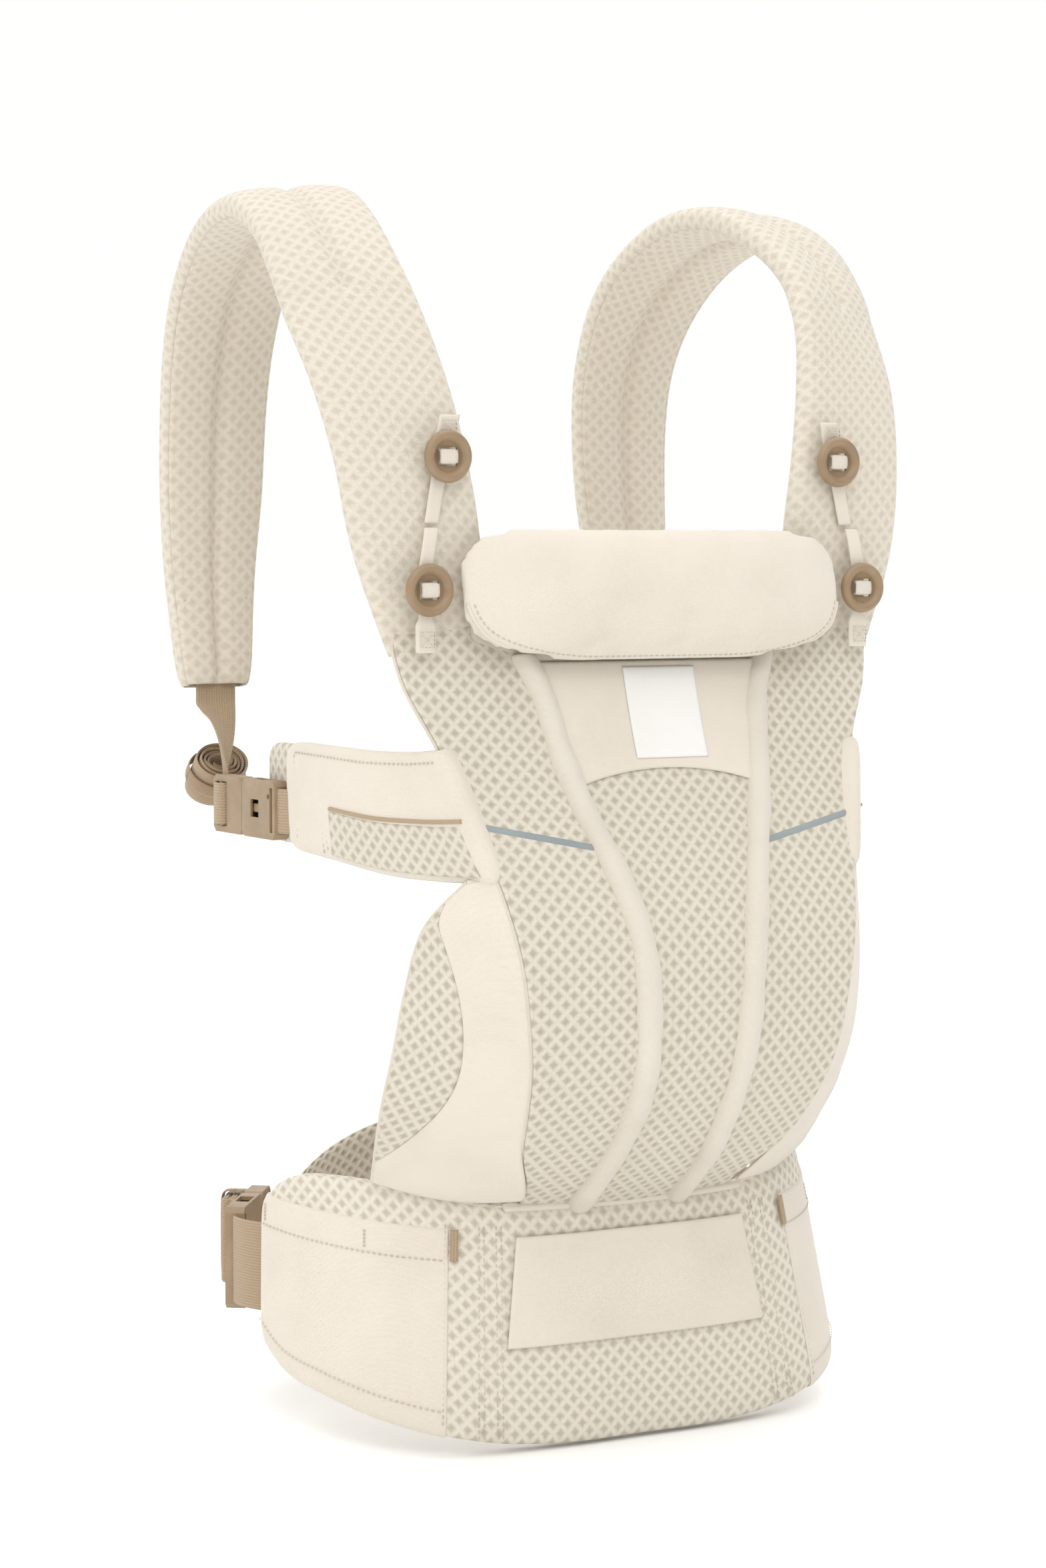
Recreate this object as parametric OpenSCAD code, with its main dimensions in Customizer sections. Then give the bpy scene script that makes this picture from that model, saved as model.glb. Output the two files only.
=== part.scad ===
// Soft baby carrier with padded shoulder straps, a shaped front panel, a folded
// head support and a padded waist belt.  Units are millimetres, +Z is up, the
// panel faces -Y and the wearer stands on the Z axis.  Z = 0 is the lowest edge
// of the waist belt.

/* [Panel] */
// Thickness of the outer fabric of the front panel
panel_fabric = 2.2; // [1.5:0.1:3]
// Thickness of the soft lining behind the panel
panel_lining_thickness = 3; // [2:0.1:4]
// How far the panel edges sit behind its centre line
panel_bow = 8; // [4:0.5:12]
// Height of the padded pipings above the panel
piping_height = 8; // [5:0.5:9]
// Half width of a padded piping
piping_half_width = 6.5; // [5:0.5:7]

/* [Shoulder straps] */
// Half thickness of the strap foam at its fullest
strap_foam_half = 5.2; // [4:0.1:6]
// Thickness of the strap covers
strap_cover = 2; // [1:0.1:2.5]
// Depth left at the middle groove, as a share of the full thickness
strap_groove = 0.72; // [0.6:0.01:1]

/* [Waist belt] */
// Foam thickness of the waist belt
belt_foam = 12; // [8:0.5:14]
// Thickness of the belt covers
belt_cover = 2; // [1:0.1:2.4]
// Thickness of the belt lining
belt_lining_thickness = 2; // [1:0.1:3]
// Half thickness of the lumbar pad at its centre
lumbar_half = 8; // [5:0.5:9]

/* [Head support] */
// Drop of the folded head support
head_drop = 74; // [66:1:75]
// Half width of the head support
head_half_width = 120.5; // [112:0.5:121]
// Full thickness of the head cushion
head_thickness = 19; // [12:0.5:20]

/* [Buttons and webbing] */
// Diameter of the round buttons
button_diameter = 28; // [24:0.5:29]
// Thickness of the buttons
button_thickness = 4; // [3:0.1:4.5]
// Width of the strap webbing
strap_webbing_width = 25; // [24:0.5:25]
// Width of the waist webbing
waist_webbing_width = 50; // [46:0.5:50]
// Thickness of the webbing
webbing_thickness = 1.6; // [1.2:0.1:2]

/* [Buckles] */
// Length of a prong of the strap buckles
strap_prong = 25; // [20:0.5:25]
// Length of a prong of the waist buckle
waist_prong = 30; // [24:0.5:30]
// Thickness of the strap buckles
strap_buckle_thickness = 9; // [8.5:0.1:10]
// Thickness of the waist buckle
waist_buckle_thickness = 11; // [10:0.1:12]

/* [Part to show] */
// Sub-part to build, or "all" for the whole carrier

/* [Hidden] */
$fn = 48;

cotton = [0.90, 0.85, 0.78];
mesh = [0.86, 0.82, 0.75];
lining = [0.82, 0.78, 0.71];
foam = [0.93, 0.92, 0.88];
tan_webbing = [0.71, 0.61, 0.49];
tan_plastic = [0.68, 0.57, 0.45];
grey_trim = [0.55, 0.60, 0.61];
white_label = [0.95, 0.94, 0.92];

// ---- curves and sheets ----------------------------------------------------
function unit(v) = v / norm(v);
function mix(a, b, t) = a + (b - a) * t;
// smooth curve through evenly spaced hand-set points, t from 0 to 1
function cr(p, t) = let (n = len(p) - 1, u = max(0, min(n - 0.000001, t * n)), i = floor(u), f = u - i,
    a = p[max(0, i - 1)], b = p[i], c = p[i + 1], d = p[min(n, i + 2)])
    0.5 * ((2 * b) + (c - a) * f + (2 * a - 5 * b + 4 * c - d) * f * f + (3 * b - a - 3 * c + d) * f * f * f);
function steps(a, b, n) = [for (i = [0:n]) a + (b - a) * i / n];
function grid(f, as, bs, o) = [for (b = bs) [for (a = as) f(a, b, o)]];

// closed solid between two point grids of the same size
module slab(A, B) {
    n = len(A);
    m = len(A[0]);
    pts = concat([for (r = A) each r], [for (r = B) each r]);
    k = n * m;
    quads = concat(
        [for (i = [0:n - 2], j = [0:m - 2]) [i * m + j, i * m + j + 1, (i + 1) * m + j + 1, (i + 1) * m + j]],
        [for (i = [0:n - 2], j = [0:m - 2]) [k + i * m + j, k + (i + 1) * m + j, k + (i + 1) * m + j + 1, k + i * m + j + 1]],
        [for (j = [0:m - 2]) [j + 1, j, k + j, k + j + 1]],
        [for (j = [0:m - 2]) [(n - 1) * m + j, (n - 1) * m + j + 1, k + (n - 1) * m + j + 1, k + (n - 1) * m + j]],
        [for (i = [0:n - 2]) [i * m, (i + 1) * m, k + (i + 1) * m, k + i * m]],
        [for (i = [0:n - 2]) [(i + 2) * m - 1, (i + 1) * m - 1, k + (i + 1) * m - 1, k + (i + 2) * m - 1]]);
    tris = [for (q = quads) each [[q[0], q[1], q[2]], [q[0], q[2], q[3]]]];
    vol = [for (t = tris) 1] * [for (t = tris) pts[t[0]] * cross(pts[t[1]], pts[t[2]])];
    polyhedron(pts, vol < 0 ? tris : [for (t = tris) [t[2], t[1], t[0]]]);
}
module layer(f, as, bs, lo, hi) {
    slab(grid(f, as, bs, hi), grid(f, as, bs, lo));
}

// ---- front panel surface --------------------------------------------------
panel_y = [[124, -70], [132, -79], [150, -101], [180, -127], [206, -142], [242, -149], [276, -148],
    [313, -136], [349, -119], [381, -106], [405, -98], [430, -91], [480, -83]];
panel_w = [[124, 64], [142, 70], [162, 83], [188, 91], [217, 96], [272, 104], [329, 116], [345, 121],
    [380, 131], [415, 146], [424, 149]];
piping_x = [[124, 31], [150, 31.5], [180, 30], [206, 30], [242, 32], [276, 35], [313, 44], [349, 56],
    [381, 63], [405, 67], [428, 76]];
function wide(z) = lookup(z, panel_w);
function panel_at(x, z) = [x, lookup(z, panel_y) + panel_bow * pow(x / wide(z), 2), z];
function panel_normal(x, z) = unit([2 * panel_bow * x / pow(wide(z), 2), -1,
    (lookup(z + 9, panel_y) - lookup(z - 9, panel_y)) / 18]);
function panel(x, z, o) = panel_at(x, z) + o * panel_normal(x, z);
rows_top = [480, 456, 434];
rows_panel = [422, 402, 380, 354, 328, 302, 276, 250, 224, 200, 180, 162, 146, 135, 127];
function center_half(z) = z > 430 ? 94 : lookup(z, piping_x) - piping_half_width - 1;
function lining_half(z) = z > 424 ? 94 : wide(z) - 3;

module panel_center() {
    color(mesh) layer(function (a, z, o) panel(a * center_half(z), z, o), steps(-1, 1, 6),
        concat(rows_top, rows_panel), 0.3, panel_fabric);
}
module panel_side() {
    color(mesh) layer(function (a, z, o) panel(mix(lookup(z, piping_x) + piping_half_width + 1, wide(z), a), z, o),
        [0, 0.33, 0.67, 1], rows_panel, 0.3, panel_fabric);
}
module panel_side_left() mirror([1, 0, 0]) panel_side();
module panel_side_right() panel_side();
module panel_lining() {
    color(lining) layer(function (a, z, o) panel(a * lining_half(z), z, o), steps(-1, 1, 8),
        concat(rows_top, [426], rows_panel), -0.8 - panel_lining_thickness, -0.8);
}
module piping() {
    across = [-1, -0.62, 0, 0.62, 1];
    rise = [0.25, 0.8, 1, 0.8, 0.25];
    high = [for (z = rows_panel) if (z > 130) [for (i = [0:4])
        panel(lookup(z, piping_x) + across[i] * piping_half_width, z, rise[i] * piping_height)]];
    low = [for (z = rows_panel) if (z > 130) [for (i = [0:4])
        panel(lookup(z, piping_x) + across[i] * piping_half_width, z, 0.3)]];
    color(cotton) slab(high, low);
}
module piping_left() mirror([1, 0, 0]) piping();
module piping_right() piping();
module front_pocket() {
    color(cotton) layer(function (a, b, o) let (z = mix(421, 366 - 8 * a * a, b))
        panel(a * (lookup(z, piping_x) - piping_half_width - 1.5), z, o),
        steps(-1, 1, 6), steps(0, 1, 4), panel_fabric + 0.6, panel_fabric + 2.4);
}
module label() {
    color(white_label) layer(function (a, b, o) panel(4.5 + 22.5 * a, mix(419.5, 370.5, b), o),
        steps(-1, 1, 2), steps(0, 1, 4), panel_fabric + 3.1, panel_fabric + 4);
}
module reflective_trim() {
    color(grey_trim) layer(function (a, b, o) let (z = mix(326, 339, a) - 2 + 4 * b)
        panel(mix(lookup(z, piping_x) + piping_half_width + 2, wide(z) - 1, a), z, o),
        steps(0, 1, 4), [0, 1], panel_fabric + 0.6, panel_fabric + 3);
}
module reflective_trims() {
    reflective_trim();
    mirror([1, 0, 0]) reflective_trim();
}

// ---- seat wings beside the leg openings ------------------------------------
wing_out = [[122, -116, 311], [135, -92.5, 285], [141.4, -83.6, 252], [145.4, -77, 218], [146.8, -64, 182], [139.5, -39.5, 143]];
function wing_at(a, b) = let (z = mix(314, 141.5, b), e = panel_at(wide(z) + 1.8, z), w = cr(wing_out, b))
    mix(e, w, a) + [0.5, -0.86, 0] * 6 * sin(180 * max(0, min(1, a))) * sin(180 * max(0, min(1, b)));
function wing_normal(a, b) = unit(cross(wing_at(a + 0.02, b) - wing_at(a - 0.02, b),
    wing_at(a, min(1, b + 0.02)) - wing_at(a, max(0, b - 0.02))));
function wing(a, b, o) = wing_at(a, b) + o * wing_normal(a, b);
wing_seam = [[0.14, 0.97], [0.25, 0.72], [0.4, 0.55], [0.55, 0.5], [0.7, 0.55], [0.82, 0.72], [0.9, 0.97]];
module seat_mesh() {
    color(mesh) layer(function (a, b, o) wing(mix(lookup(b, wing_seam) + 0.02, 1, a), b, o),
        [0, 0.5, 1], steps(0.16, 0.88, 7), -1.2, 1.2);
}
module seat_edge() {
    color(cotton) layer(function (a, b, o) wing(a * (b < 0.15 || b > 0.89 ? 1 : lookup(b, wing_seam) - 0.01), b, o),
        [0, 0.33, 0.67, 1], [0, 0.07, 0.14, 0.25, 0.36, 0.47, 0.58, 0.69, 0.8, 0.89, 0.91, 1], -1.5, 1.5);
}
module seat_mesh_left() mirror([1, 0, 0]) seat_mesh();
module seat_mesh_right() seat_mesh();
module seat_edge_left() mirror([1, 0, 0]) seat_edge();
module seat_edge_right() seat_edge();

// ---- waist belt -----------------------------------------------------------
belt_top = [[0, -76], [38, -76], [75, -71], [106, -60], [134, -38], [153, -9], [164, 17], [168.5, 39]];
belt_low = [[0, -93], [42, -93], [84, -90], [120, -82], [147, -62], [163, -29], [169.5, 4], [171, 37.5]];
belt_zt = [124, 124, 125, 130, 137, 139, 136, 120];
belt_zb = [0, 0, 3, 10, 18, 26, 33, 50];
function flip(p, s) = [s < 0 ? -p[0] : p[0], p[1]];
function belt_plan(s, z) = let (f = z / 124) flip(mix(cr(belt_low, abs(s)), cr(belt_top, abs(s)), f), s);
function belt_at(s, z) = let (p = belt_plan(s, z)) [p[0], p[1], z];
function belt_normal(s, z) = unit(cross(belt_at(s + 0.02, z) - belt_at(s - 0.02, z), [0, 0, 1]));
function belt(s, z, o) = belt_at(s, z) + o * belt_normal(s, z);
function belt_h(s, h) = mix(cr(belt_zb, abs(s)), cr(belt_zt, abs(s)), h);
module belt_layer(ss, hs, lo, hi, trim) {
    layer(function (s, h, o) belt(s, belt_h(s, mix(trim, 1 - trim, h)), o), ss, hs, lo, hi);
}
module belt_core() {
    color(foam) belt_layer(steps(-0.98, 0.98, 24), [0, 0.33, 0.67, 1], -belt_foam, 0, 0.02);
}
module belt_lining() {
    color(lining) belt_layer(steps(-0.99, 0.99, 24), [0, 0.33, 0.67, 1],
        -belt_foam - 0.6 - belt_lining_thickness, -belt_foam - 0.6, 0);
}
module belt_front() {
    color(mesh) belt_layer(steps(-0.415, 0.415, 10), [0, 0.33, 0.67, 1], 0.5, 0.5 + belt_cover, 0);
}
module belt_pocket() {
    color(cotton) layer(function (s, h, o) belt(s, mix(belt_h(s, 0), min(belt_h(s, 1), 117 + 19 * (s - 0.422)), h), o),
        steps(0.422, 0.985, 8), [0, 0.33, 0.67, 1], 0.5, 0.7 + belt_cover);
}
module belt_pocket_left() mirror([1, 0, 0]) belt_pocket();
module belt_pocket_right() belt_pocket();
module belt_flap() {
    color(cotton) layer(function (a, h, o) belt(a * mix(0.272, 0.29, h), mix(112, 53, h), o),
        steps(-1, 1, 8), [0, 0.5, 1], belt_cover + 1.3, belt_cover + 3.1);
}
module belt_tab() {
    color(tan_webbing) layer(function (s, z, o) belt(s, z, o), [0.396, 0.413], [117.5, 101],
        belt_cover + 1.1, belt_cover + 2.6);
}
module belt_tabs() {
    belt_tab();
    mirror([1, 0, 0]) belt_tab();
}

// upright band following a path seen from above
module band(path, n, zc, w, t) {
    function at(a, z, o) = let (p = cr(path, a), d = unit(cr(path, min(1, a + 0.01)) - cr(path, max(0, a - 0.01))))
        [p[0] + o * d[1], p[1] - o * d[0], z];
    layer(function (z, a, o) at(a, z, o), [zc - w / 2, zc + w / 2], steps(0, 1, n), -t / 2, t / 2);
}
waist_z = 84;
module waist_webbing_left() {
    color(tan_webbing) band([[-166, 42.5], [-169.5, 51], [-171.5, 60], [-172, 67.5]], 5, waist_z,
        waist_webbing_width, webbing_thickness);
}
module waist_webbing_right() {
    color(tan_webbing) band([[-130.4, 111], [-117.4, 128.3], [-102.8, 147.6], [-66, 172], [0, 183], [62, 178],
        [112, 160], [146, 126], [164, 84], [167, 42.5]], 30, waist_z, waist_webbing_width, webbing_thickness);
}
module lumbar_pad() {
    function at(x, h, o) = let (u = x / 100, g = 1 - 0.5 * u * u, zt = 143 - 28 * u * u, zb = 42 + 12 * u * u,
        k = 0.35 + 0.65 * sqrt(max(0, 1 - pow(2 * h - 1, 4))))
        [x, 158 - 17 * u * u - 7 * pow(u, 6) + o * lumbar_half * g * k, mix(zb, zt, h)];
    color(mesh) layer(function (x, h, o) at(x, h, o), [-112, -100, -80, -60, -40, -20, 0, 20, 40, 60, 80, 100, 112],
        [0, 0.12, 0.4, 0.7, 0.9, 1], -1, 1);
}

// ---- side-release buckles ---------------------------------------------------
// The insertion axis is X, the mouth of the housing is at x = 0 and the tongue
// leaves towards +X.  The release window faces -Y.
module plate(x0, x1, h, t, c) {
    translate([0, t / 2, 0]) rotate([90, 0, 0]) linear_extrude(t)
        polygon([[x0 + c, -h / 2], [x1 - c, -h / 2], [x1, -h / 2 + c], [x1, h / 2 - c],
            [x1 - c, h / 2], [x0 + c, h / 2], [x0, h / 2 - c], [x0, -h / 2 + c]]);
}
module housing(w, len, t, prong) {
    h = w + 8;
    color(tan_plastic) difference() {
        plate(-len, 0, h, t, 3);
        translate([-prong - 4, -t / 2 + 1.6, -h / 2 + 2.4]) cube([prong + 6, t - 3.2, h - 4.8]);
        translate([-prong, -t / 2 + 1.6, -h / 2 - 1]) cube([prong * 0.55, t - 3.2, h + 2]);
        translate([-prong + 3, -t / 2 - 1, -w * 0.2]) cube([prong * 0.42, t / 2, w * 0.4]);
        translate([-len + 3, -t / 2 - 1, -w / 2]) cube([3.4, t + 2, w]);
        translate([-len + 8.4, 0, w * 0.42 - 3]) rotate([90, 0, 0]) cylinder(d = 3, h = t + 2, center = true);
    }
}
module insert(w, len, t, prong) {
    h = w + 8;
    color(tan_plastic) difference() {
        union() {
            plate(0.5, len, h, t, 3);
            translate([-prong + 6, -t / 2 + 2.2, -w * 0.1]) cube([prong - 5, t - 4.4, w * 0.2]);
        }
        translate([len - 8, -t / 2 - 1, -w / 2]) cube([5, t + 2, w]);
        translate([len - 18, -t / 2 - 1, -w / 2]) cube([6, t + 2, w]);
    }
}
module prong_bar(w, t, prong) {
    zc = w / 2;
    color(tan_plastic) difference() {
        union() {
            translate([-prong, -t / 2 + 2.2, zc - 2.6]) cube([prong - 0.5, t - 4.4, 3.6]);
            translate([-prong, -t / 2 + 2.2, zc - 4.4]) cube([prong * 0.4, t - 4.4, 2.4]);
        }
        translate([-prong - 1, -t, zc - 5]) rotate([0, 32, 0]) cube([8, 2 * t, 3]);
    }
}
strap_buckle_at = [156, 82, 340];
module place_strap_buckle() {
    translate(strap_buckle_at) rotate([0, 0, 90]) children();
}
waist_buckle_at = [-142, 110, waist_z];
waist_turn = atan2(0.8, 0.6);
module place_waist_buckle() {
    translate(waist_buckle_at) rotate([0, 0, waist_turn]) mirror([0, 1, 0]) children();
}
module buckle_female_right() place_strap_buckle() housing(strap_webbing_width, 43, strap_buckle_thickness, strap_prong);
module buckle_female_left() mirror([1, 0, 0]) buckle_female_right();
module buckle_male_right() place_strap_buckle() insert(strap_webbing_width, 39, strap_buckle_thickness, strap_prong);
module buckle_male_left() mirror([1, 0, 0]) buckle_male_right();
module prong_upper_right() place_strap_buckle() prong_bar(strap_webbing_width, strap_buckle_thickness, strap_prong);
module prong_lower_right() place_strap_buckle() mirror([0, 0, 1]) prong_bar(strap_webbing_width, strap_buckle_thickness, strap_prong);
module prong_upper_left() mirror([1, 0, 0]) prong_upper_right();
module prong_lower_left() mirror([1, 0, 0]) prong_lower_right();
module waist_buckle_female() place_waist_buckle() housing(waist_webbing_width, 50, waist_buckle_thickness, waist_prong);
module waist_buckle_male() place_waist_buckle() insert(waist_webbing_width, 26, waist_buckle_thickness, waist_prong);
module waist_prong_upper() place_waist_buckle() prong_bar(waist_webbing_width, waist_buckle_thickness, waist_prong);
module waist_prong_lower() place_waist_buckle() mirror([0, 0, 1]) prong_bar(waist_webbing_width, waist_buckle_thickness, waist_prong);
module waist_bundle() {
    place_waist_buckle() {
        color(tan_webbing) translate([2, -waist_buckle_thickness / 2 - 14, -waist_webbing_width / 2])
            cube([34, 13, waist_webbing_width]);
        color(tan_plastic) difference() {
            translate([15, -waist_buckle_thickness / 2 - 15.4, -waist_webbing_width / 2 - 1.4])
                cube([8, 15, waist_webbing_width + 2.8]);
            translate([14, -waist_buckle_thickness / 2 - 14, -waist_webbing_width / 2])
                cube([10, 13, waist_webbing_width]);
        }
    }
}

// ---- shoulder straps --------------------------------------------------------
strap_in = [[97, -86, 431], [99, -83, 490], [106, -81, 535], [114, -74, 575], [122, -61, 612], [126, -40, 641],
    [123, -8, 664], [117, 28, 678], [110, 66, 678], [107, 106, 663], [106, 139, 638], [106, 158, 604],
    [107, 166, 567], [110, 166, 518], [117, 162, 467], [124, 152, 406]];
strap_out = [[152, -82, 429], [170, -79, 490], [177, -73, 535], [183, -58, 575], [187, -34, 610], [188, -18, 634],
    [187, 4, 657], [185, 38, 672], [182, 78, 669], [178, 114, 653], [174, 143, 627], [171, 160, 597],
    [170, 167, 562], [170, 168, 516], [169, 163, 465], [166, 153, 406]];
function strap_at(u, t) = mix(cr(strap_in, t), cr(strap_out, t), (u + 1) / 2);
function strap_normal(t) = unit(cross(strap_at(1, t) - strap_at(-1, t),
    strap_at(0, min(1, t + 0.012)) - strap_at(0, max(0, t - 0.012))));
function lobe(u, t) = let (g = t < 0.27 ? 1 : strap_groove, a = abs(u))
    lookup(a, [[0, g], [0.35, 1], [0.7, 0.88], [1, 0.3]]);
function strap(u, t, o) = strap_at(u, t) + o * strap_normal(t);
strap_cols = [-1, -0.7, -0.35, 0, 0.35, 0.7, 1];
strap_rows = steps(0, 1, 25);
module strap_cover_right() {
    color(mesh) slab([for (t = strap_rows) [for (u = strap_cols) strap(u, t, strap_foam_half * lobe(u, t) + 0.5 + strap_cover)]],
        [for (t = strap_rows) [for (u = strap_cols) strap(u, t, strap_foam_half * lobe(u, t) + 0.5)]]);
}
module strap_foam_right() {
    color(foam) slab([for (t = strap_rows) [for (u = strap_cols) strap(u * 0.97, t, strap_foam_half * lobe(u, t))]],
        [for (t = strap_rows) [for (u = strap_cols) strap(u * 0.97, t, -strap_foam_half * lobe(u, t))]]);
}
module strap_lining_right() {
    color(lining) slab([for (t = strap_rows) [for (u = strap_cols) strap(u, t, -strap_foam_half * lobe(u, t) - 0.5)]],
        [for (t = strap_rows) [for (u = strap_cols) strap(u, t, -strap_foam_half * lobe(u, t) - 0.5 - strap_cover)]]);
}
module strap_cover_left() mirror([1, 0, 0]) strap_cover_right();
module strap_foam_left() mirror([1, 0, 0]) strap_foam_right();
module strap_lining_left() mirror([1, 0, 0]) strap_lining_right();

drop_path = [[145.5, 151.5, 401], [147, 148, 394], [149.5, 140.5, 385], [152, 132, 376], [154.5, 125.5, 363], [156, 123.5, 345]];
drop_side = [[1, 0, 0], [1, 0, 0.1], [0.85, 0, 0.5], [0.5, 0, 0.85], [0.12, 0, 1], [0, 0, 1]];
module strap_webbing_right() {
    color(tan_webbing) layer(function (u, a, o) let (s = unit(cr(drop_side, a)),
        d = unit(cr(drop_path, min(1, a + 0.02)) - cr(drop_path, max(0, a - 0.02))), n = unit(cross(s, d)))
        cr(drop_path, a) + s * u * (a > 0.55 ? mix(strap_webbing_width / 2, 9, (a - 0.55) / 0.45) : strap_webbing_width / 2) + n * o,
        [-1, 0, 1], steps(0, 1, 9), -webbing_thickness / 2, webbing_thickness / 2);
}
module strap_webbing_left() mirror([1, 0, 0]) strap_webbing_right();
roll_at = [145, 152, 354];
module coil(r, w) {
    translate(roll_at) rotate([45, 0, 0]) translate([0, 0, -w / 2]) linear_extrude(w) {
        translate([2, 0]) circle(r);
        translate([-2, 0]) circle(r);
        translate([-2, -r]) square([4, 2 * r]);
    }
}
module strap_roll_right() {
    color(tan_webbing) coil(12.6, strap_webbing_width);
}
module strap_roll_left() mirror([1, 0, 0]) strap_roll_right();
module roll_keeper_right() {
    color(tan_plastic) difference() {
        coil(14.6, 8);
        coil(13, 10);
    }
}
module roll_keeper_left() mirror([1, 0, 0]) roll_keeper_right();

// ---- side arms --------------------------------------------------------------
arm_top = [[132.5, -100, 377], [136, -76, 375.5], [144, -46, 375], [149, -8, 376], [152, 37, 377]];
arm_low = [[115.5, -124, 315], [125, -94, 313.5], [136.5, -56, 314], [146.5, -14, 318], [151, 37, 322]];
function arm_at(a, b) = mix(cr(arm_top, a), cr(arm_low, a), b) + (a > 1 ? [-22 * (a - 1) * (a - 1), 115 * (a - 1), 0] : [0, 0, 0]);
function arm_normal(a, b) = unit(cross(arm_at(a + 0.02, b) - arm_at(a - 0.02, b), arm_at(a, 0) - arm_at(a, 1)));
function arm(a, b, o) = arm_at(a, b) + o * arm_normal(a, b);
module arm_cover_right() {
    color(cotton) layer(function (a, b, o) arm(a, b, o), steps(0, 1, 9), [0, 0.33, 0.67, 1], 0, 4);
}
module arm_pad_right() {
    color(mesh) layer(function (a, b, o) arm(a, mix(a > 1.1 ? 0.06 * (a - 1.1) / 0.18 : 0, 1, b), o),
        concat(steps(0.16, 1, 8), [1.1, 1.2, 1.28]), [0.02, 0.31, 0.66, 0.98], -7, -0.6);
}
module arm_cover_left() mirror([1, 0, 0]) arm_cover_right();
module arm_pad_left() mirror([1, 0, 0]) arm_pad_right();
module arm_welts() {
    for (s = [0, 1]) mirror([s, 0, 0])
        color(tan_webbing) layer(function (a, b, o) arm(a, b, o), steps(0.08, 0.62, 5), [0.46, 0.54], 4.4, 5.6);
}

// ---- head support and buttons ------------------------------------------------
head_top = 496;
head_shape = [[0, 0.77], [0.06, 0.89], [0.15, 0.955], [0.3, 0.985], [0.5, 1], [0.65, 0.985],
    [0.76, 0.94], [0.86, 0.84], [0.94, 0.68], [1, 0.45]];
function head_half(t) = head_half_width * lookup(t / head_drop, head_shape);
function head_back(x, t) = -97.5 - 7.6 * t / head_drop - 2 * (1 - pow(x / head_half_width, 2));
function head_full(u, t) = 2.5 + (head_thickness - 2.5) * sqrt(max(0, 1 - pow(u, 4))) *
    sqrt(max(0, 1 - pow(abs(2 * t / head_drop - 1), 2.5)));
module head_cushion() {
    cols = [-1, -0.94, -0.84, -0.68, -0.46, -0.23, 0, 0.23, 0.46, 0.68, 0.84, 0.94, 1];
    rows = [for (k = [0, 0.06, 0.16, 0.32, 0.5, 0.68, 0.84, 0.94, 1]) k * head_drop];
    color(cotton) slab([for (t = rows) [for (u = cols) let (x = u * head_half(t)) [x, head_back(x, t) - head_full(u, t), head_top - t]]],
        [for (t = rows) [for (u = cols) let (x = u * head_half(t)) [x, head_back(x, t), head_top - t]]]);
}
module tape(w, l) {
    translate([-w / 2, -0.7, -l]) cube([w, 1.4, l]);
}
module head_tape() {
    color(cotton) translate([137, -99, 494]) tape(12, 62);
}
module head_tapes() {
    head_tape();
    mirror([1, 0, 0]) head_tape();
}
module strap_tape() {
    color(cotton) translate([120, -94.3, 556]) rotate([0, -11, 0]) mirror([1, 0, 0]) tape(12, 57);
}
module strap_tapes() {
    strap_tape();
    mirror([1, 0, 0]) strap_tape();
}
module button() {
    r = button_diameter / 2;
    color(tan_plastic) rotate([90, 0, 0]) difference() {
        cylinder(r = r, h = button_thickness);
        translate([0, 0, button_thickness - 1]) cylinder(r = r - 3, h = 2);
        translate([-5.6, -5, -1]) cube([11.2, 10, button_thickness + 2]);
    }
}
module button_head_right() translate([137, -100.2, 464]) button();
module button_head_left() mirror([1, 0, 0]) button_head_right();
module button_strap_right() translate([123.5, -95.5, 534]) button();
module button_strap_left() mirror([1, 0, 0]) button_strap_right();

panel_center();
panel_side_left();
panel_side_right();
panel_lining();
piping_left();
piping_right();
front_pocket();
label();
reflective_trims();
seat_mesh_left();
seat_mesh_right();
seat_edge_left();
seat_edge_right();
belt_front();
belt_core();
belt_lining();
belt_flap();
belt_pocket_left();
belt_pocket_right();
belt_tabs();
waist_webbing_left();
waist_webbing_right();
waist_bundle();
lumbar_pad();
waist_buckle_female();
waist_buckle_male();
waist_prong_upper();
waist_prong_lower();
strap_cover_left();
strap_cover_right();
strap_foam_left();
strap_foam_right();
strap_lining_left();
strap_lining_right();
strap_webbing_left();
strap_webbing_right();
strap_roll_left();
strap_roll_right();
roll_keeper_left();
roll_keeper_right();
buckle_female_left();
buckle_female_right();
buckle_male_left();
buckle_male_right();
prong_upper_left();
prong_lower_left();
prong_upper_right();
prong_lower_right();
arm_cover_left();
arm_cover_right();
arm_pad_left();
arm_pad_right();
arm_welts();
head_cushion();
head_tapes();
strap_tapes();
button_head_left();
button_head_right();
button_strap_left();
button_strap_right();
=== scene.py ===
import math
import bmesh
import bpy
import numpy as np
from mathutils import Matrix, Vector
from mathutils.bvhtree import BVHTree


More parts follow.
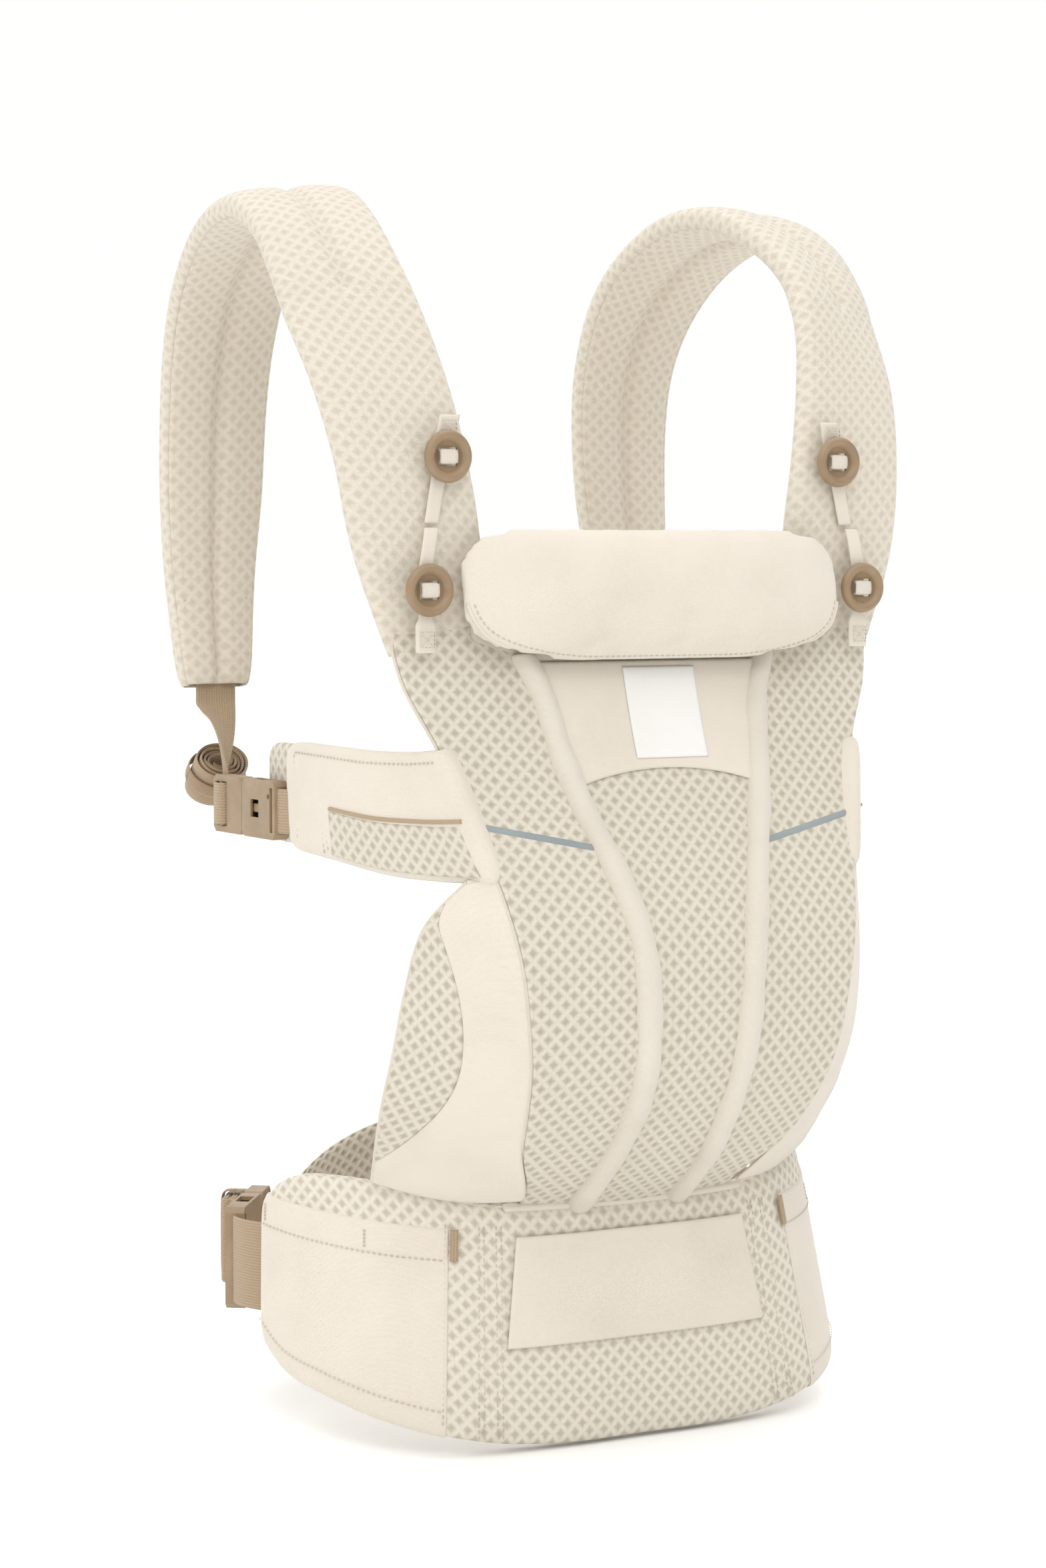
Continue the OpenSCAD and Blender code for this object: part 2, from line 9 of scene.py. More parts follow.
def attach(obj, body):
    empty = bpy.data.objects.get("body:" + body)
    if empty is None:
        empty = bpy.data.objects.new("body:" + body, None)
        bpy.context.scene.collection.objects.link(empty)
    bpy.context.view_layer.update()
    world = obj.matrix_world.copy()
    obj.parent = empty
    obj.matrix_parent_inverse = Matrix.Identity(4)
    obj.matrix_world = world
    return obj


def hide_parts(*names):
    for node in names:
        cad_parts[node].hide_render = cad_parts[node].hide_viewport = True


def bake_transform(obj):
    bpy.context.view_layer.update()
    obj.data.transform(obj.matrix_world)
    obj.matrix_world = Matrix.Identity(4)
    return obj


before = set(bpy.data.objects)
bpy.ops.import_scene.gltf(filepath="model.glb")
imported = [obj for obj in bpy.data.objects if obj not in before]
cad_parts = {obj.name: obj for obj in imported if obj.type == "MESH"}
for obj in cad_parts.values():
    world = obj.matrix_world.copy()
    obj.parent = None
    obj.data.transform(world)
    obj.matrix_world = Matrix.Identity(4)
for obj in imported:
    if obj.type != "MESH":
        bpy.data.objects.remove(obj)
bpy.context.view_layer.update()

COL = bpy.context.scene.collection
MM = 0.001
UP = np.array([0, 0, 1.0])
ACROSS = np.array([1.0, 0, 0])
FRONT = np.array([0, -1, 0])
SIDES = [(side, tag, np.array([side, 1, 1])) for side, tag in ((-1, "left"), (1, "right"))]
CELL = 9.0  # side of the spacer mesh's lattice, shared by the dimples and the material


# ---------------------------------------------------------------- curves (mm)
def cr(points, t):
    """Smooth curve through evenly spaced points; t is an array from 0 to 1."""
    p = np.asarray(points, float)
    t = np.asarray(t, float)
    n = len(p) - 1
    u = np.clip(t * n, 0, n - 1e-6)
    i = np.floor(u).astype(int)
    f = u - i
    a, b, c, d = p[np.maximum(i - 1, 0)], p[i], p[i + 1], p[np.minimum(i + 2, n)]
    if p.ndim > 1:
        f = f[..., None]
    return 0.5 * (2 * b + (c - a) * f + (2 * a - 5 * b + 4 * c - d) * f**2 + (3 * b - a - 3 * c + d) * f**3)


def tab(rows, z):
    """Smooth value read from (position, value) rows."""
    x, y = np.asarray(rows, float).T
    z = np.clip(np.asarray(z, float), x[0], x[-1])
    m = np.gradient(y, x)
    i = np.clip(np.searchsorted(x, z) - 1, 0, len(x) - 2)
    h = x[i + 1] - x[i]
    s = (z - x[i]) / h
    return ((1 + 2 * s) * (1 - s) ** 2 * y[i] + s * (1 - s) ** 2 * h * m[i]
            + s * s * (3 - 2 * s) * y[i + 1] + s * s * (s - 1) * h * m[i + 1])


def unit(v):
    return v / np.maximum(np.linalg.norm(v, axis=-1, keepdims=True), 1e-9)

def step(a, b, x):
    """0 before a, 1 beyond b, smooth between."""
    s = np.clip((x - a) / (b - a), 0, 1)
    return s * s * (3 - 2 * s)


def normals(G):
    return unit(np.cross(np.gradient(G, axis=1), np.gradient(G, axis=0)))

def run(P):
    """Distance along a path of points, from its first point."""
    return np.concatenate([[0], np.cumsum(np.linalg.norm(np.diff(P, axis=0), axis=1))])


def read(P, L, s):
    """Points of path P, with distances L along it, at the distances s."""
    return np.stack([np.interp(s, L, P[:, k]) for k in range(P.shape[1])], 1)


def evenly(x, y, m):
    """A plane curve as m evenly spaced points."""
    P = np.stack([x, y], 1)
    L = run(P)
    return read(P, L, np.linspace(0, L[-1], m)).T


def curve_points(P, spacing):
    P = np.asarray(P, float)
    L = run(P)
    return read(P, L, np.linspace(0, L[-1], max(2, int(L[-1] / spacing) + 1)))


def polyline(corners, n):
    """Straight runs between corners, n points on each."""
    A = np.asarray(corners, float)
    return np.concatenate([np.linspace(p, q, n)[:-1] for p, q in zip(A, A[1:])] + [A[-1:]])


def superellipse(th, n, count=400):
    """Sine and cosine over the angles th (degrees), squared off by the power n."""
    a = np.linspace(*th, count) * math.pi / 180
    return [np.sign(v) * np.abs(v) ** (2 / n) for v in (np.sin(a), np.cos(a))]


def on_side(G, side):
    """A grid made for the right side, or its mirror image with the same facing."""
    return G if side > 0 else G[:, ::-1] * np.array([-1, 1, 1])


def lengths(G):
    """Distances across and along a grid, from its middle column and first row."""
    n, m = G.shape[:2]
    du = np.linalg.norm(np.diff(G, axis=1), axis=2)
    U = np.concatenate([np.zeros((n, 1)), np.cumsum(du, 1)], 1)
    U -= U[:, m // 2][:, None]
    dv = np.linalg.norm(np.diff(G[:, m // 2], axis=0), axis=1)
    V = np.concatenate([[0], np.cumsum(dv)])[:, None] * np.ones((1, m))
    return U, V


def dimples(U, V, depth):
    """Rounded pits in the cells of a diagonal lattice."""
    a, b = (U + V) / CELL, (U - V) / CELL
    fa, fb = np.abs(a % 1 - 0.5) * 2, np.abs(b % 1 - 0.5) * 2
    return -depth * step(0.15, 0.72, np.minimum(fa, fb))


def folds(U, V, amp, size, seed, kinds=6):
    """Soft irregular unevenness of cloth."""
    r = np.random.default_rng(seed)
    out = np.zeros_like(U)
    for _ in range(kinds):
        k = (2 * math.pi / size) * r.uniform(0.5, 1.6)
        w = r.uniform(0, math.pi)
        out += np.sin(k * (U * math.cos(w) + V * math.sin(w)) + r.uniform(0, 6.3)
                      + 0.9 * np.sin(0.6 * k * (U * math.sin(w) - V * math.cos(w))))
    return amp * out / kinds


def relief_of(U, V, depth, fold):
    """Height of a cloth's dimples and of its folds, given as (amp, size, seed)."""
    return (dimples(U, V, depth) if np.any(depth) else 0) + (folds(U, V, *fold) if fold else 0)


# ---------------------------------------------------------------- mesh making
def make_mesh(name, verts, faces, mat, uv=None):
    me = bpy.data.meshes.new(name)
    verts = np.asarray(verts, float) * MM
    me.vertices.add(len(verts))
    me.vertices.foreach_set("co", verts.ravel())
    faces = np.asarray(faces, int)
    k = faces.shape[1]
    me.loops.add(faces.size)
    me.loops.foreach_set("vertex_index", faces.ravel())
    me.polygons.add(len(faces))
    me.polygons.foreach_set("loop_start", np.arange(0, faces.size, k))
    me.polygons.foreach_set("use_smooth", np.full(len(faces), True))
    me.update(calc_edges=True)
    if uv is not None:
        layer = me.uv_layers.new(name="UVMap")
        layer.data.foreach_set("uv", (np.asarray(uv)[faces.ravel()] * MM).ravel())
    me.materials.append(mat)
    ob = bpy.data.objects.new(name, me)
    COL.objects.link(ob)
    return ob


def from_ends(n):
    """Steps from the nearer end of a row of n."""
    return np.minimum(np.arange(n), np.arange(n)[::-1])


def two_faced(name, top, low, turn, U, V, mat):
    """Closed sheet between two grids of points; turn reverses the faces' winding."""
    n, m = U.shape
    k = n * m
    a = (np.arange(n - 1)[:, None] * m + np.arange(m - 1)[None, :]).ravel()
    j = np.arange(m - 1)
    b = (n - 1) * m
    i = np.arange(n - 1) * m
    F = np.concatenate([np.stack(quad, 1) for quad in (
        (a, a + 1, a + m + 1, a + m),
        (k + a, k + a + m, k + a + m + 1, k + a + 1),
        (j + 1, j, k + j, k + j + 1),
        (b + j, b + j + 1, k + b + j + 1, k + b + j),
        (i, i + m, k + i + m, k + i),
        (i + 2 * m - 1, i + m - 1, k + i + m - 1, k + i + 2 * m - 1))])
    verts = np.concatenate([top.reshape(-1, 3), low.reshape(-1, 3)])
    uv = np.stack([U, V], -1).reshape(-1, 2)
    return make_mesh(name, verts, F[:, ::-1] if turn else F, mat, np.concatenate([uv, uv]))


def shell(name, G, thick, mat, depth=0, fold=None, relief=0.0, flip=False, rim=1.6, close=False, uv=None):
    """Closed sheet: outer face G raised by its relief, inner face below, rounded rim.

    flip puts the outer face on the grid's other side; close rounds only the first and last rows.
    """
    n, m = G.shape[:2]
    N = normals(G) * (-1 if flip else 1)
    U, V = lengths(G)
    i = from_ends(n)[:, None] * (V[-1, 0] / max(1, n - 1))
    j = from_ends(m)[None, :] * np.median(np.abs(np.diff(U, axis=1)))
    e = np.clip((i if close else np.minimum(i, j)) / rim, 0, 1)
    edge = 1 - np.sqrt(1 - (1 - e) ** 2)
    if uv is not None:
        U, V = uv
    d = relief + relief_of(U, V, depth, fold)
    top = G + N * (d * (1 - edge) - 0.45 * thick * edge)[..., None]
    low = G - N * (thick * (1 - 0.35 * edge))[..., None]
    return two_faced(name, top, low, not flip, U, V, mat)


def tube(name, path, radius, mat, sides=10, flat=1.0):
    """Closed round cord along a path."""
    P = np.asarray(path, float)
    T = unit(np.gradient(P, axis=0))
    A = unit(np.cross(T, UP))
    B = flat * np.cross(T, A)
    w = np.linspace(0, 2 * math.pi, sides, endpoint=False)[None, :, None]
    ring = P[:, None] + radius * (A[:, None] * np.cos(w) + B[:, None] * np.sin(w))
    n = len(P)
    pairs = [(j, (j + 1) % sides) for j in range(sides)]
    faces = []
    for i in range(n - 1):
        a, b = i * sides, (i + 1) * sides
        for j, q in pairs:
            faces += [[a + j, a + q, b + q], [a + j, b + q, b + j]]
    last = (n - 1) * sides
    for j, q in pairs:
        faces += [[n * sides, q, j], [n * sides + 1, last + j, last + q]]
    return make_mesh(name, np.concatenate([ring.reshape(-1, 3), P[[0, -1]]]), np.array(faces)[:, ::-1], mat)


def band(name, path, side, width, thick, mat):
    """Webbing: a flat strip of the given width along a path; side is its width direction."""
    P = np.asarray(path, float)
    S = unit(np.asarray(side, float) * np.ones_like(P))
    u = np.linspace(-0.5, 0.5, max(5, int(np.max(width) / 1.4)))
    w = np.broadcast_to(np.asarray(width, float), len(P))[:, None, None]
    G = P[:, None] + S[:, None] * u[None, :, None] * w
    N = unit(np.cross(S, unit(np.gradient(P, axis=0))))
    return shell(name, G + N[:, None] * thick / 2, thick, mat, flip=True, rim=0.8)


STITCH = {}
STITCH_RINGS = ((-0.5, 0.25), (-0.3, 1.0), (0.3, 1.0), (0.5, 0.25))
STITCH_SECTION = ((1, 0.15), (0, 1.0), (-1, 0.15), (0, -0.7))
STITCH_SIDES = [[i + j, i + (j + 1) % 4, i + 4 + (j + 1) % 4, i + 4 + j] for i in (0, 4, 8) for j in range(4)]
STITCH_FACES = np.array(STITCH_SIDES + [[3, 2, 1, 0], [12, 13, 14, 15]])


def stitches(body, P, N, pitch=3.4, length=2.3, r=0.42):
    """A row of sewn stitches along points P, with the cloth's outward directions N."""
    P = np.asarray(P, float)
    N = unit(np.asarray(N, float) * np.ones_like(P))
    L = run(P)
    s = np.arange(pitch / 2, L[-1], pitch)
    if not len(s):
        return
    c, n = read(P, L, s), unit(read(N, L, s))
    t = unit(read(P, L, s + 0.6) - read(P, L, s - 0.6))
    b = np.cross(t, n)
    V = np.stack([c + t * length * x + b * p * r * g + n * (q * r * g)
                  for x, g in STITCH_RINGS for p, q in STITCH_SECTION], 1)
    verts, faces = STITCH.setdefault(body, [[], []])
    start = sum(len(v) for v in verts) + (np.arange(len(s)) * 16)[:, None, None]
    verts.append(V.reshape(-1, 3))
    faces.append((STITCH_FACES[None] + start).reshape(-1, 4))


# ---------------------------------------------------------------- materials
def dial(n, **values):
    """Set a node's inputs; an underscore stands for a space in an input's name."""
    for key, v in values.items():
        n.inputs[key.replace("_", " ")].default_value = v
    return n


def material(name, rough, sheen, specular):
    m = bpy.data.materials.new(name)
    m.use_nodes = True
    b = m.node_tree.nodes["Principled BSDF"]
    dial(b, Roughness=rough, Specular_IOR_Level=specular, Sheen_Weight=sheen, Sheen_Roughness=0.5)
    return m, m.node_tree, b


def node(t, kind, **vals):
    n = t.nodes.new(kind)
    for key, v in vals.items():
        setattr(n, key, v)
    return n


def put(t, src, dst, name):
    """Link a node's first output, or a socket, to an input."""
    s = src.outputs[0] if hasattr(src, "outputs") else src
    t.links.new(s, dst.inputs[name])


def math_node(t, op, a, b=None, c=None):
    n = node(t, "ShaderNodeMath", operation=op)
    for i, v in enumerate((a, b, c)):
        if v is None:
            continue
        if isinstance(v, (int, float)):
            n.inputs[i].default_value = v
        else:
            put(t, v, n, i)
    return n


def ramp(t, src, stops):
    """Colour ramp through (position, colour) stops."""
    n = node(t, "ShaderNodeValToRGB")
    put(t, src, n, "Fac")
    e = n.color_ramp.elements
    e[0].position, e[0].color = stops[0][0], (*stops[0][1], 1)
    e[1].position, e[1].color = stops[-1][0], (*stops[-1][1], 1)
    for p, c in stops[1:-1]:
        x = e.new(p)
        x.color = (*c, 1)
    return n


ALBEDO = 0.90  # colours are read from lit cloth; the cloth itself is this much darker


def lin(*rgb):
    """Linear cloth colour of an sRGB reading."""
    return tuple(ALBEDO * ((v / 255 + 0.055) / 1.055) ** 2.4 for v in rgb)


def noise(t, vec, scale, detail):
    n = dial(node(t, "ShaderNodeTexNoise"), Scale=scale, Detail=detail, Roughness=0.55)
    t.links.new(vec, n.inputs["Vector"])
    return n.outputs["Fac"]


def bump(t, b, height, strength, dist, before=None):
    n = dial(node(t, "ShaderNodeBump"), Strength=strength, Distance=dist)
    put(t, height, n, "Height")
    if before:
        put(t, before, n, "Normal")
    put(t, n, b, "Normal")
    return n


def multiply(t, fac, a, b):
    """Colour a multiplied by colour b, by the share fac."""
    n = node(t, "ShaderNodeMix", data_type="RGBA", blend_type="MULTIPLY")
    n.inputs[0].default_value = fac
    put(t, a, n, 6)
    put(t, b, n, 7)
    return n.outputs[2]


def uv_xy(t):
    u = node(t, "ShaderNodeUVMap", uv_map="UVMap")
    s = node(t, "ShaderNodeSeparateXYZ")
    put(t, u, s, 0)
    return u.outputs[0], s.outputs[0], s.outputs[1]


def thread_waves(t, x, y, pitch):
    """Plain weave height from two coordinates in metres."""
    k = 2 * math.pi / pitch
    a = math_node(t, "SINE", math_node(t, "MULTIPLY", x, k))
    b = math_node(t, "SINE", math_node(t, "MULTIPLY", y, k))
    return math_node(t, "MULTIPLY_ADD", math_node(t, "MULTIPLY", a, b), 0.5, 0.5)


def mesh_knit(name, light, pit_shade, deep=1.0):
    """Spacer mesh: the dimples' lattice in bump, and in colour as painted shade darkening the pits, over a
    fine knit.
    """
    m, t, b = material(name, 0.86, 0.25, 0.2)
    uv, x, y = uv_xy(t)
    dist = []
    for sign in (1, -1):
        a = math_node(t, "MULTIPLY", math_node(t, "MULTIPLY_ADD", y, sign, x), 1 / (CELL * MM))
        f = math_node(t, "ABSOLUTE", math_node(t, "SUBTRACT", math_node(t, "FLOORED_MODULO", a, 1.0), 0.5))
        dist.append(math_node(t, "MULTIPLY", f, 2.0))
    hole = math_node(t, "MINIMUM", *dist)
    fine = thread_waves(t, x, y, 0.0011)
    fuzz = noise(t, uv, 900, 2)
    h = math_node(t, "MULTIPLY_ADD", fuzz, 0.25, hole)
    middle = tuple(0.5 * l + 0.5 * d for l, d in zip(light, pit_shade))
    # pits darkened towards the second colour: painted shade in the dimples
    col = ramp(t, h, [(0.34, light), (0.56, middle), (0.86, pit_shade)])
    big = ramp(t, noise(t, uv, 420, 3), [(0.32, (0.86, 0.86, 0.86)), (0.66, (1, 1, 1))])
    put(t, multiply(t, 0.55, col, big), b, "Base Color")
    flat = math_node(t, "MINIMUM", hole, 0.6)
    n1 = bump(t, b, math_node(t, "SUBTRACT", 1.0, flat), 0.45 * deep, 0.0011)
    bump(t, b, math_node(t, "MULTIPLY_ADD", fuzz, 0.9, fine), 0.5, 0.0004, n1)
    return m


def woven(name, colour, shade, scale=0.0007, strength=0.3, rough=0.85, sheen=0.3, mottling=0.5):
    """Twill cloth with fine fibres and soft blotches."""
    m, t, b = material(name, rough, sheen, 0.25)
    co = node(t, "ShaderNodeTexCoord").outputs["Object"]
    sx = node(t, "ShaderNodeSeparateXYZ")
    put(t, co, sx, 0)
    along = math_node(t, "ADD", sx.outputs[0], sx.outputs[1])
    diagonal = math_node(t, "MULTIPLY_ADD", sx.outputs[2], 1.3, along)
    twill = math_node(t, "SINE", math_node(t, "MULTIPLY", diagonal, 2 * math.pi / (1.5 * scale)))
    weave = math_node(t, "MULTIPLY_ADD", twill, 0.4, thread_waves(t, along, sx.outputs[2], scale))
    big = noise(t, co, 18, 3)
    fib = noise(t, co, 1400, 2)
    middle = tuple((a + 2 * c) / 3 for a, c in zip(shade, colour))
    col = ramp(t, math_node(t, "MULTIPLY_ADD", fib, 0.35, math_node(t, "MULTIPLY", big, 0.65)),
               [(0.3, shade), (0.5, middle), (0.68, colour)])
    put(t, col, b, "Base Color")
    n1 = bump(t, b, noise(t, co, 85, 4), mottling, 0.0009)
    bump(t, b, math_node(t, "MULTIPLY_ADD", fib, 0.6, weave), strength, 0.0003, n1)
    return m


def webbing_material(name, colour, shade, pitch=0.0016):
    """Webbing with ribs in a zigzag."""
    m, t, b = material(name, 0.72, 0.25, 0.3)
    uv, x, y = uv_xy(t)
    k = 2 * math.pi / pitch
    zig = math_node(t, "PINGPONG", x, pitch)
    ribs = math_node(t, "SINE", math_node(t, "MULTIPLY", math_node(t, "MULTIPLY_ADD", zig, 1.2, y), k))
    cols = math_node(t, "SINE", math_node(t, "MULTIPLY", x, k))
    h = math_node(t, "MULTIPLY_ADD", cols, 0.25, math_node(t, "MULTIPLY_ADD", ribs, 0.25, 0.5))
    fib = noise(t, uv, 1500, 2)
    col = ramp(t, math_node(t, "MULTIPLY_ADD", fib, 0.5, math_node(t, "MULTIPLY", h, 0.5)),
               [(0.2, shade), (0.62, colour)])
    put(t, col, b, "Base Color")
    bump(t, b, h, 0.6, 0.0005)
    return m


def plastic(name, colour, shade, rough):
    m, t, b = material(name, rough, 0.0, 0.45)
    co = node(t, "ShaderNodeTexCoord").outputs["Object"]
    col = ramp(t, noise(t, co, 60, 3), [(0.3, shade), (0.7, colour)])
    put(t, col, b, "Base Color")
    r = math_node(t, "MULTIPLY_ADD", noise(t, co, 300, 2), 0.18, rough - 0.09)
    put(t, r, b, "Roughness")
    bump(t, b, noise(t, co, 1800, 2), 0.12, 0.0002)
    return m


# each mesh's second colour is painted shade for the pits of its dimples
MESH = mesh_knit("mesh", lin(226, 218, 202), lin(190, 180, 162))
MESH_SOFT = mesh_knit("mesh_soft", lin(229, 220, 204), lin(213, 202, 185), 0.6)
MESH_DARK = mesh_knit("mesh_open", lin(234, 226, 211), lin(200, 190, 172))
COTTON = woven("cotton", lin(230, 221, 207), lin(219, 209, 194))
PIPING = woven("piping_cotton", lin(225, 217, 204), lin(211, 202, 188), mottling=0.7)
LINING = woven("lining", lin(219, 209, 193), lin(204, 193, 176), 0.0009)
EDGE = woven("edge_tape", lin(222, 213, 199), lin(208, 198, 183), 0.0009)
WEBBING = webbing_material("webbing", lin(184, 161, 132), lin(148, 126, 99))
ELASTIC = webbing_material("elastic", lin(176, 150, 120), lin(140, 116, 90), 0.0011)
CREAM_ELASTIC = webbing_material("cream_elastic", lin(232, 224, 210), lin(206, 196, 180), 0.0011)
PLASTIC = plastic("plastic", lin(164, 141, 112), lin(150, 127, 99), 0.42)
BUTTON = plastic("button", lin(162, 137, 107), lin(144, 120, 92), 0.38)
GREY = woven("reflective", lin(160, 168, 168), lin(138, 147, 149), 0.0006, 0.2, 0.42, 0.0, 0.2)
WHITE = woven("label", lin(244, 242, 238), lin(236, 233, 228), 0.0005, 0.25, 0.7, 0.1, 0.15)
# thread darker than the cotton: painted shade along the seam lines
SEAM_SHADE_THREAD = woven("thread", lin(212, 202, 186), lin(192, 182, 165), 0.0004, 0.2, 0.7, 0.2, 0.1)


def done(ob, body, slot, *nodes, fill=None):
    """Attach a piece to its body and hide the CAD nodes it replaces; slot and fill are not used."""
    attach(ob, body)
    if nodes:
        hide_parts(*nodes)
    return ob


def once(side, name):
    """CAD node that a left and a right piece replace together: named with the right one."""
    return [name] if side > 0 else []


# ---------------------------------------------------------------- front panel
PANEL_Y = [(124, -70), (132, -79), (150, -101), (180, -127), (206, -142), (242, -149), (276, -148),
           (313, -136), (349, -119), (381, -106), (405, -98), (430, -91), (480, -83)]
PANEL_W = [(124, 64), (142, 70), (162, 83), (188, 91), (217, 96), (272, 104), (329, 116), (345, 121),
           (380, 131), (415, 146), (430, 149)]
PIPING_X = [(124, 31), (150, 31.5), (180, 30), (206, 30), (242, 32), (276, 35), (313, 44), (349, 56),
            (381, 63), (405, 67), (428, 76)]
PIPING_R = 6.5


def panel(x, z, o=0.0):
    """Point of the front panel at width x and height z, raised by o."""
    x, z = np.broadcast_arrays(np.asarray(x, float), np.asarray(z, float))
    w = tab(PANEL_W, z)
    P = np.stack([x, tab(PANEL_Y, z) + 8 * (x / w) ** 2, z], -1)
    slope = (tab(PANEL_Y, z + 5) - tab(PANEL_Y, z - 5)) / 10
    n = unit(np.stack([16 * x / w**2, -np.ones_like(x), slope], -1))
    return P + n * np.asarray(o, float)[..., None]


def panel_stitches(x, z, o, *sizes):
    stitches("carrier", panel(x, z, o), unit(panel(x, z, 1.0) - panel(x, z, 0.0)), *sizes)


ARC_Z = np.linspace(124, 484, 400)
ARC_L = run(np.column_stack([ARC_Z, tab(PANEL_Y, ARC_Z)]))


def panel_piece(name, zs, lo, hi, m, mat, slot, *nodes, depth=0, fold=None, o=2.2, thick=2.0):
    """Piece of the panel between the widths lo and hi at the heights zs, m points across."""
    a = np.linspace(0, 1, m)[None, :]
    x = lo[:, None] * (1 - a) + hi[:, None] * a
    G = panel(x, zs[:, None], o)
    uv = G[..., 0], np.interp(zs, ARC_Z, ARC_L)[:, None] + 0 * x
    return done(shell(name, G, thick, mat, depth, fold, uv=uv), "carrier", slot, *nodes)


def piping_at(z):
    return tab(PIPING_X, z)


zs = np.linspace(424, 127, 290)
half = piping_at(zs) - PIPING_R + 1.5
panel_piece("panel_center_mesh", zs, -half, half, 116, MESH, "mesh", "panel_center", depth=1.5)
zs = np.linspace(482, 424.5, 40)
half = 95 + 11 * step(431, 436, zs)
panel_piece("panel_top_mesh", zs, -half, half, 60, COTTON, "mesh")
for side, tag, mir in SIDES:
    zs = np.linspace(447, 127, 306)
    inner, outer = piping_at(zs) + PIPING_R - 1.5 + 24 * step(428, 438, zs), tab(PANEL_W, zs)
    lo, hi = (inner, outer) if side > 0 else (-outer, -inner)
    panel_piece("panel_side_mesh_" + tag, zs, lo, hi, 70, MESH, "mesh", "panel_side_" + tag, depth=1.4)
    # padded piping
    z = np.linspace(428, 128, 240)[:, None]
    th = np.linspace(-100, 100, 19)[None, :] * math.pi / 180
    wob = 1 + 0.05 * np.sin(z / 9.0 + side) + 0.04 * np.sin(z / 4.1)
    x = side * piping_at(z) + PIPING_R * wob * np.sin(th)
    G = panel(x, z, 2.0 + 6.4 * wob * np.cos(th))
    ob = shell("piping_cover_" + tag, G, 1.2, PIPING, fold=(0.5, 11, 20 + side), close=True)
    done(ob, "carrier", "cotton", "piping_" + tag, fill=0.8)
    z = np.linspace(420, 132, 200)
    for off in (-1, 1):
        panel_stitches(side * piping_at(z) + off * (PIPING_R + 2.4), z, 2.6)
    # side edge binding
    z = np.linspace(441, 129, 208)
    P = panel(side * (tab(PANEL_W, z) - 0.2), z, 0.9)
    done(tube("panel_edge_" + tag, P, 1.7, EDGE, 12, 0.8), "carrier", "cotton")
    # reflective piping
    a = np.linspace(0, 1, 60)[:, None]
    th = np.linspace(-110, 110, 13)[None, :] * math.pi / 180
    z = 326 + 13 * a
    x = side * ((piping_at(z) + PIPING_R) * (1 - a) + (tab(PANEL_W, z) - 0.5) * a)
    G = panel(x, z + 1.9 * np.sin(th), 2.1 + 2.0 * np.cos(th))
    ob = shell("reflective_" + tag, G, 0.8, GREY, flip=side < 0, close=True)
    done(ob, "carrier", "reflective", *once(side, "reflective_trims"))

zs = np.linspace(482, 128, 160)
half = np.where(zs > 430, 95, tab(PANEL_W, zs) - 2)
ob = panel_piece("panel_lining_sheet", zs, -half, half, 120, LINING, "lining", "panel_lining",
                 fold=(0.7, 34, 3), o=-0.8, thick=3.0)

# pocket panel with its arched hem, and the blank label
a = np.linspace(-1, 1, 100)[None, :]
b = np.linspace(0, 1, 46)[:, None]
z = 424 * (1 - b) + (366 - 8 * a * a) * b
G = panel(a * (piping_at(z) - PIPING_R + 1.0), z, 4.4)
hem = 0.8 * np.exp(-(((1 - b) * 58 - 5) / 1.2) ** 2)
ob = shell("front_pocket_panel", G, 1.5, COTTON, fold=(0.8, 30, 5), relief=-hem)
done(ob, "carrier", "cotton", "front_pocket")
a = np.linspace(-0.97, 0.97, 120)
z = 366 - 8 * a**2 + 5
panel_stitches(a * (piping_at(z) - PIPING_R), z, 4.4)
G = panel(4.5 + 22.5 * np.linspace(-1, 1, 34)[None, :], np.linspace(420.5, 371, 40)[:, None], 5.9)
ob = shell("label_patch", G, 0.9, WHITE, fold=(0.35, 26, 9), rim=0.8)
done(ob, "carrier", "label", "label")
q = polyline([[-16.6, 419], [-16.6, 372.4], [25.6, 372.4], [25.6, 419]], 16)
panel_stitches(q[:, 0], q[:, 1], 6.0, 2.4, 1.7, 0.3)

# ---------------------------------------------------------------- seat wings
WING_OUT = [(122, -116, 311), (135, -92.5, 285), (141.4, -83.6, 252), (145.4, -77, 218), (146.8, -64, 182),
            (139.5, -39.5, 143)]
WING_SEAM = [(0.10, 1.0), (0.16, 0.9), (0.25, 0.72), (0.4, 0.55), (0.55, 0.5), (0.7, 0.55), (0.82, 0.72),
             (0.92, 1.0)]


def wing(a, b):
    """Point of a seat wing: a runs from the panel to the outer edge, b downwards."""
    z = 314 + (139 - 314) * b
    e = panel(tab(PANEL_W, z) - 0.5, z)
    w = cr(WING_OUT, b)
    drop = (6 * (1 - a) + 5 * np.sin(math.pi * np.clip(a, 0, 1))) * step(0.8, 1.0, b)
    a, b = a[..., None], b[..., None]
    swell = np.array([0.5, -0.86, 0]) * 6 * np.sin(math.pi * a) * np.sin(math.pi * b)
    return e + (w - e) * a + swell - drop[..., None] * UP


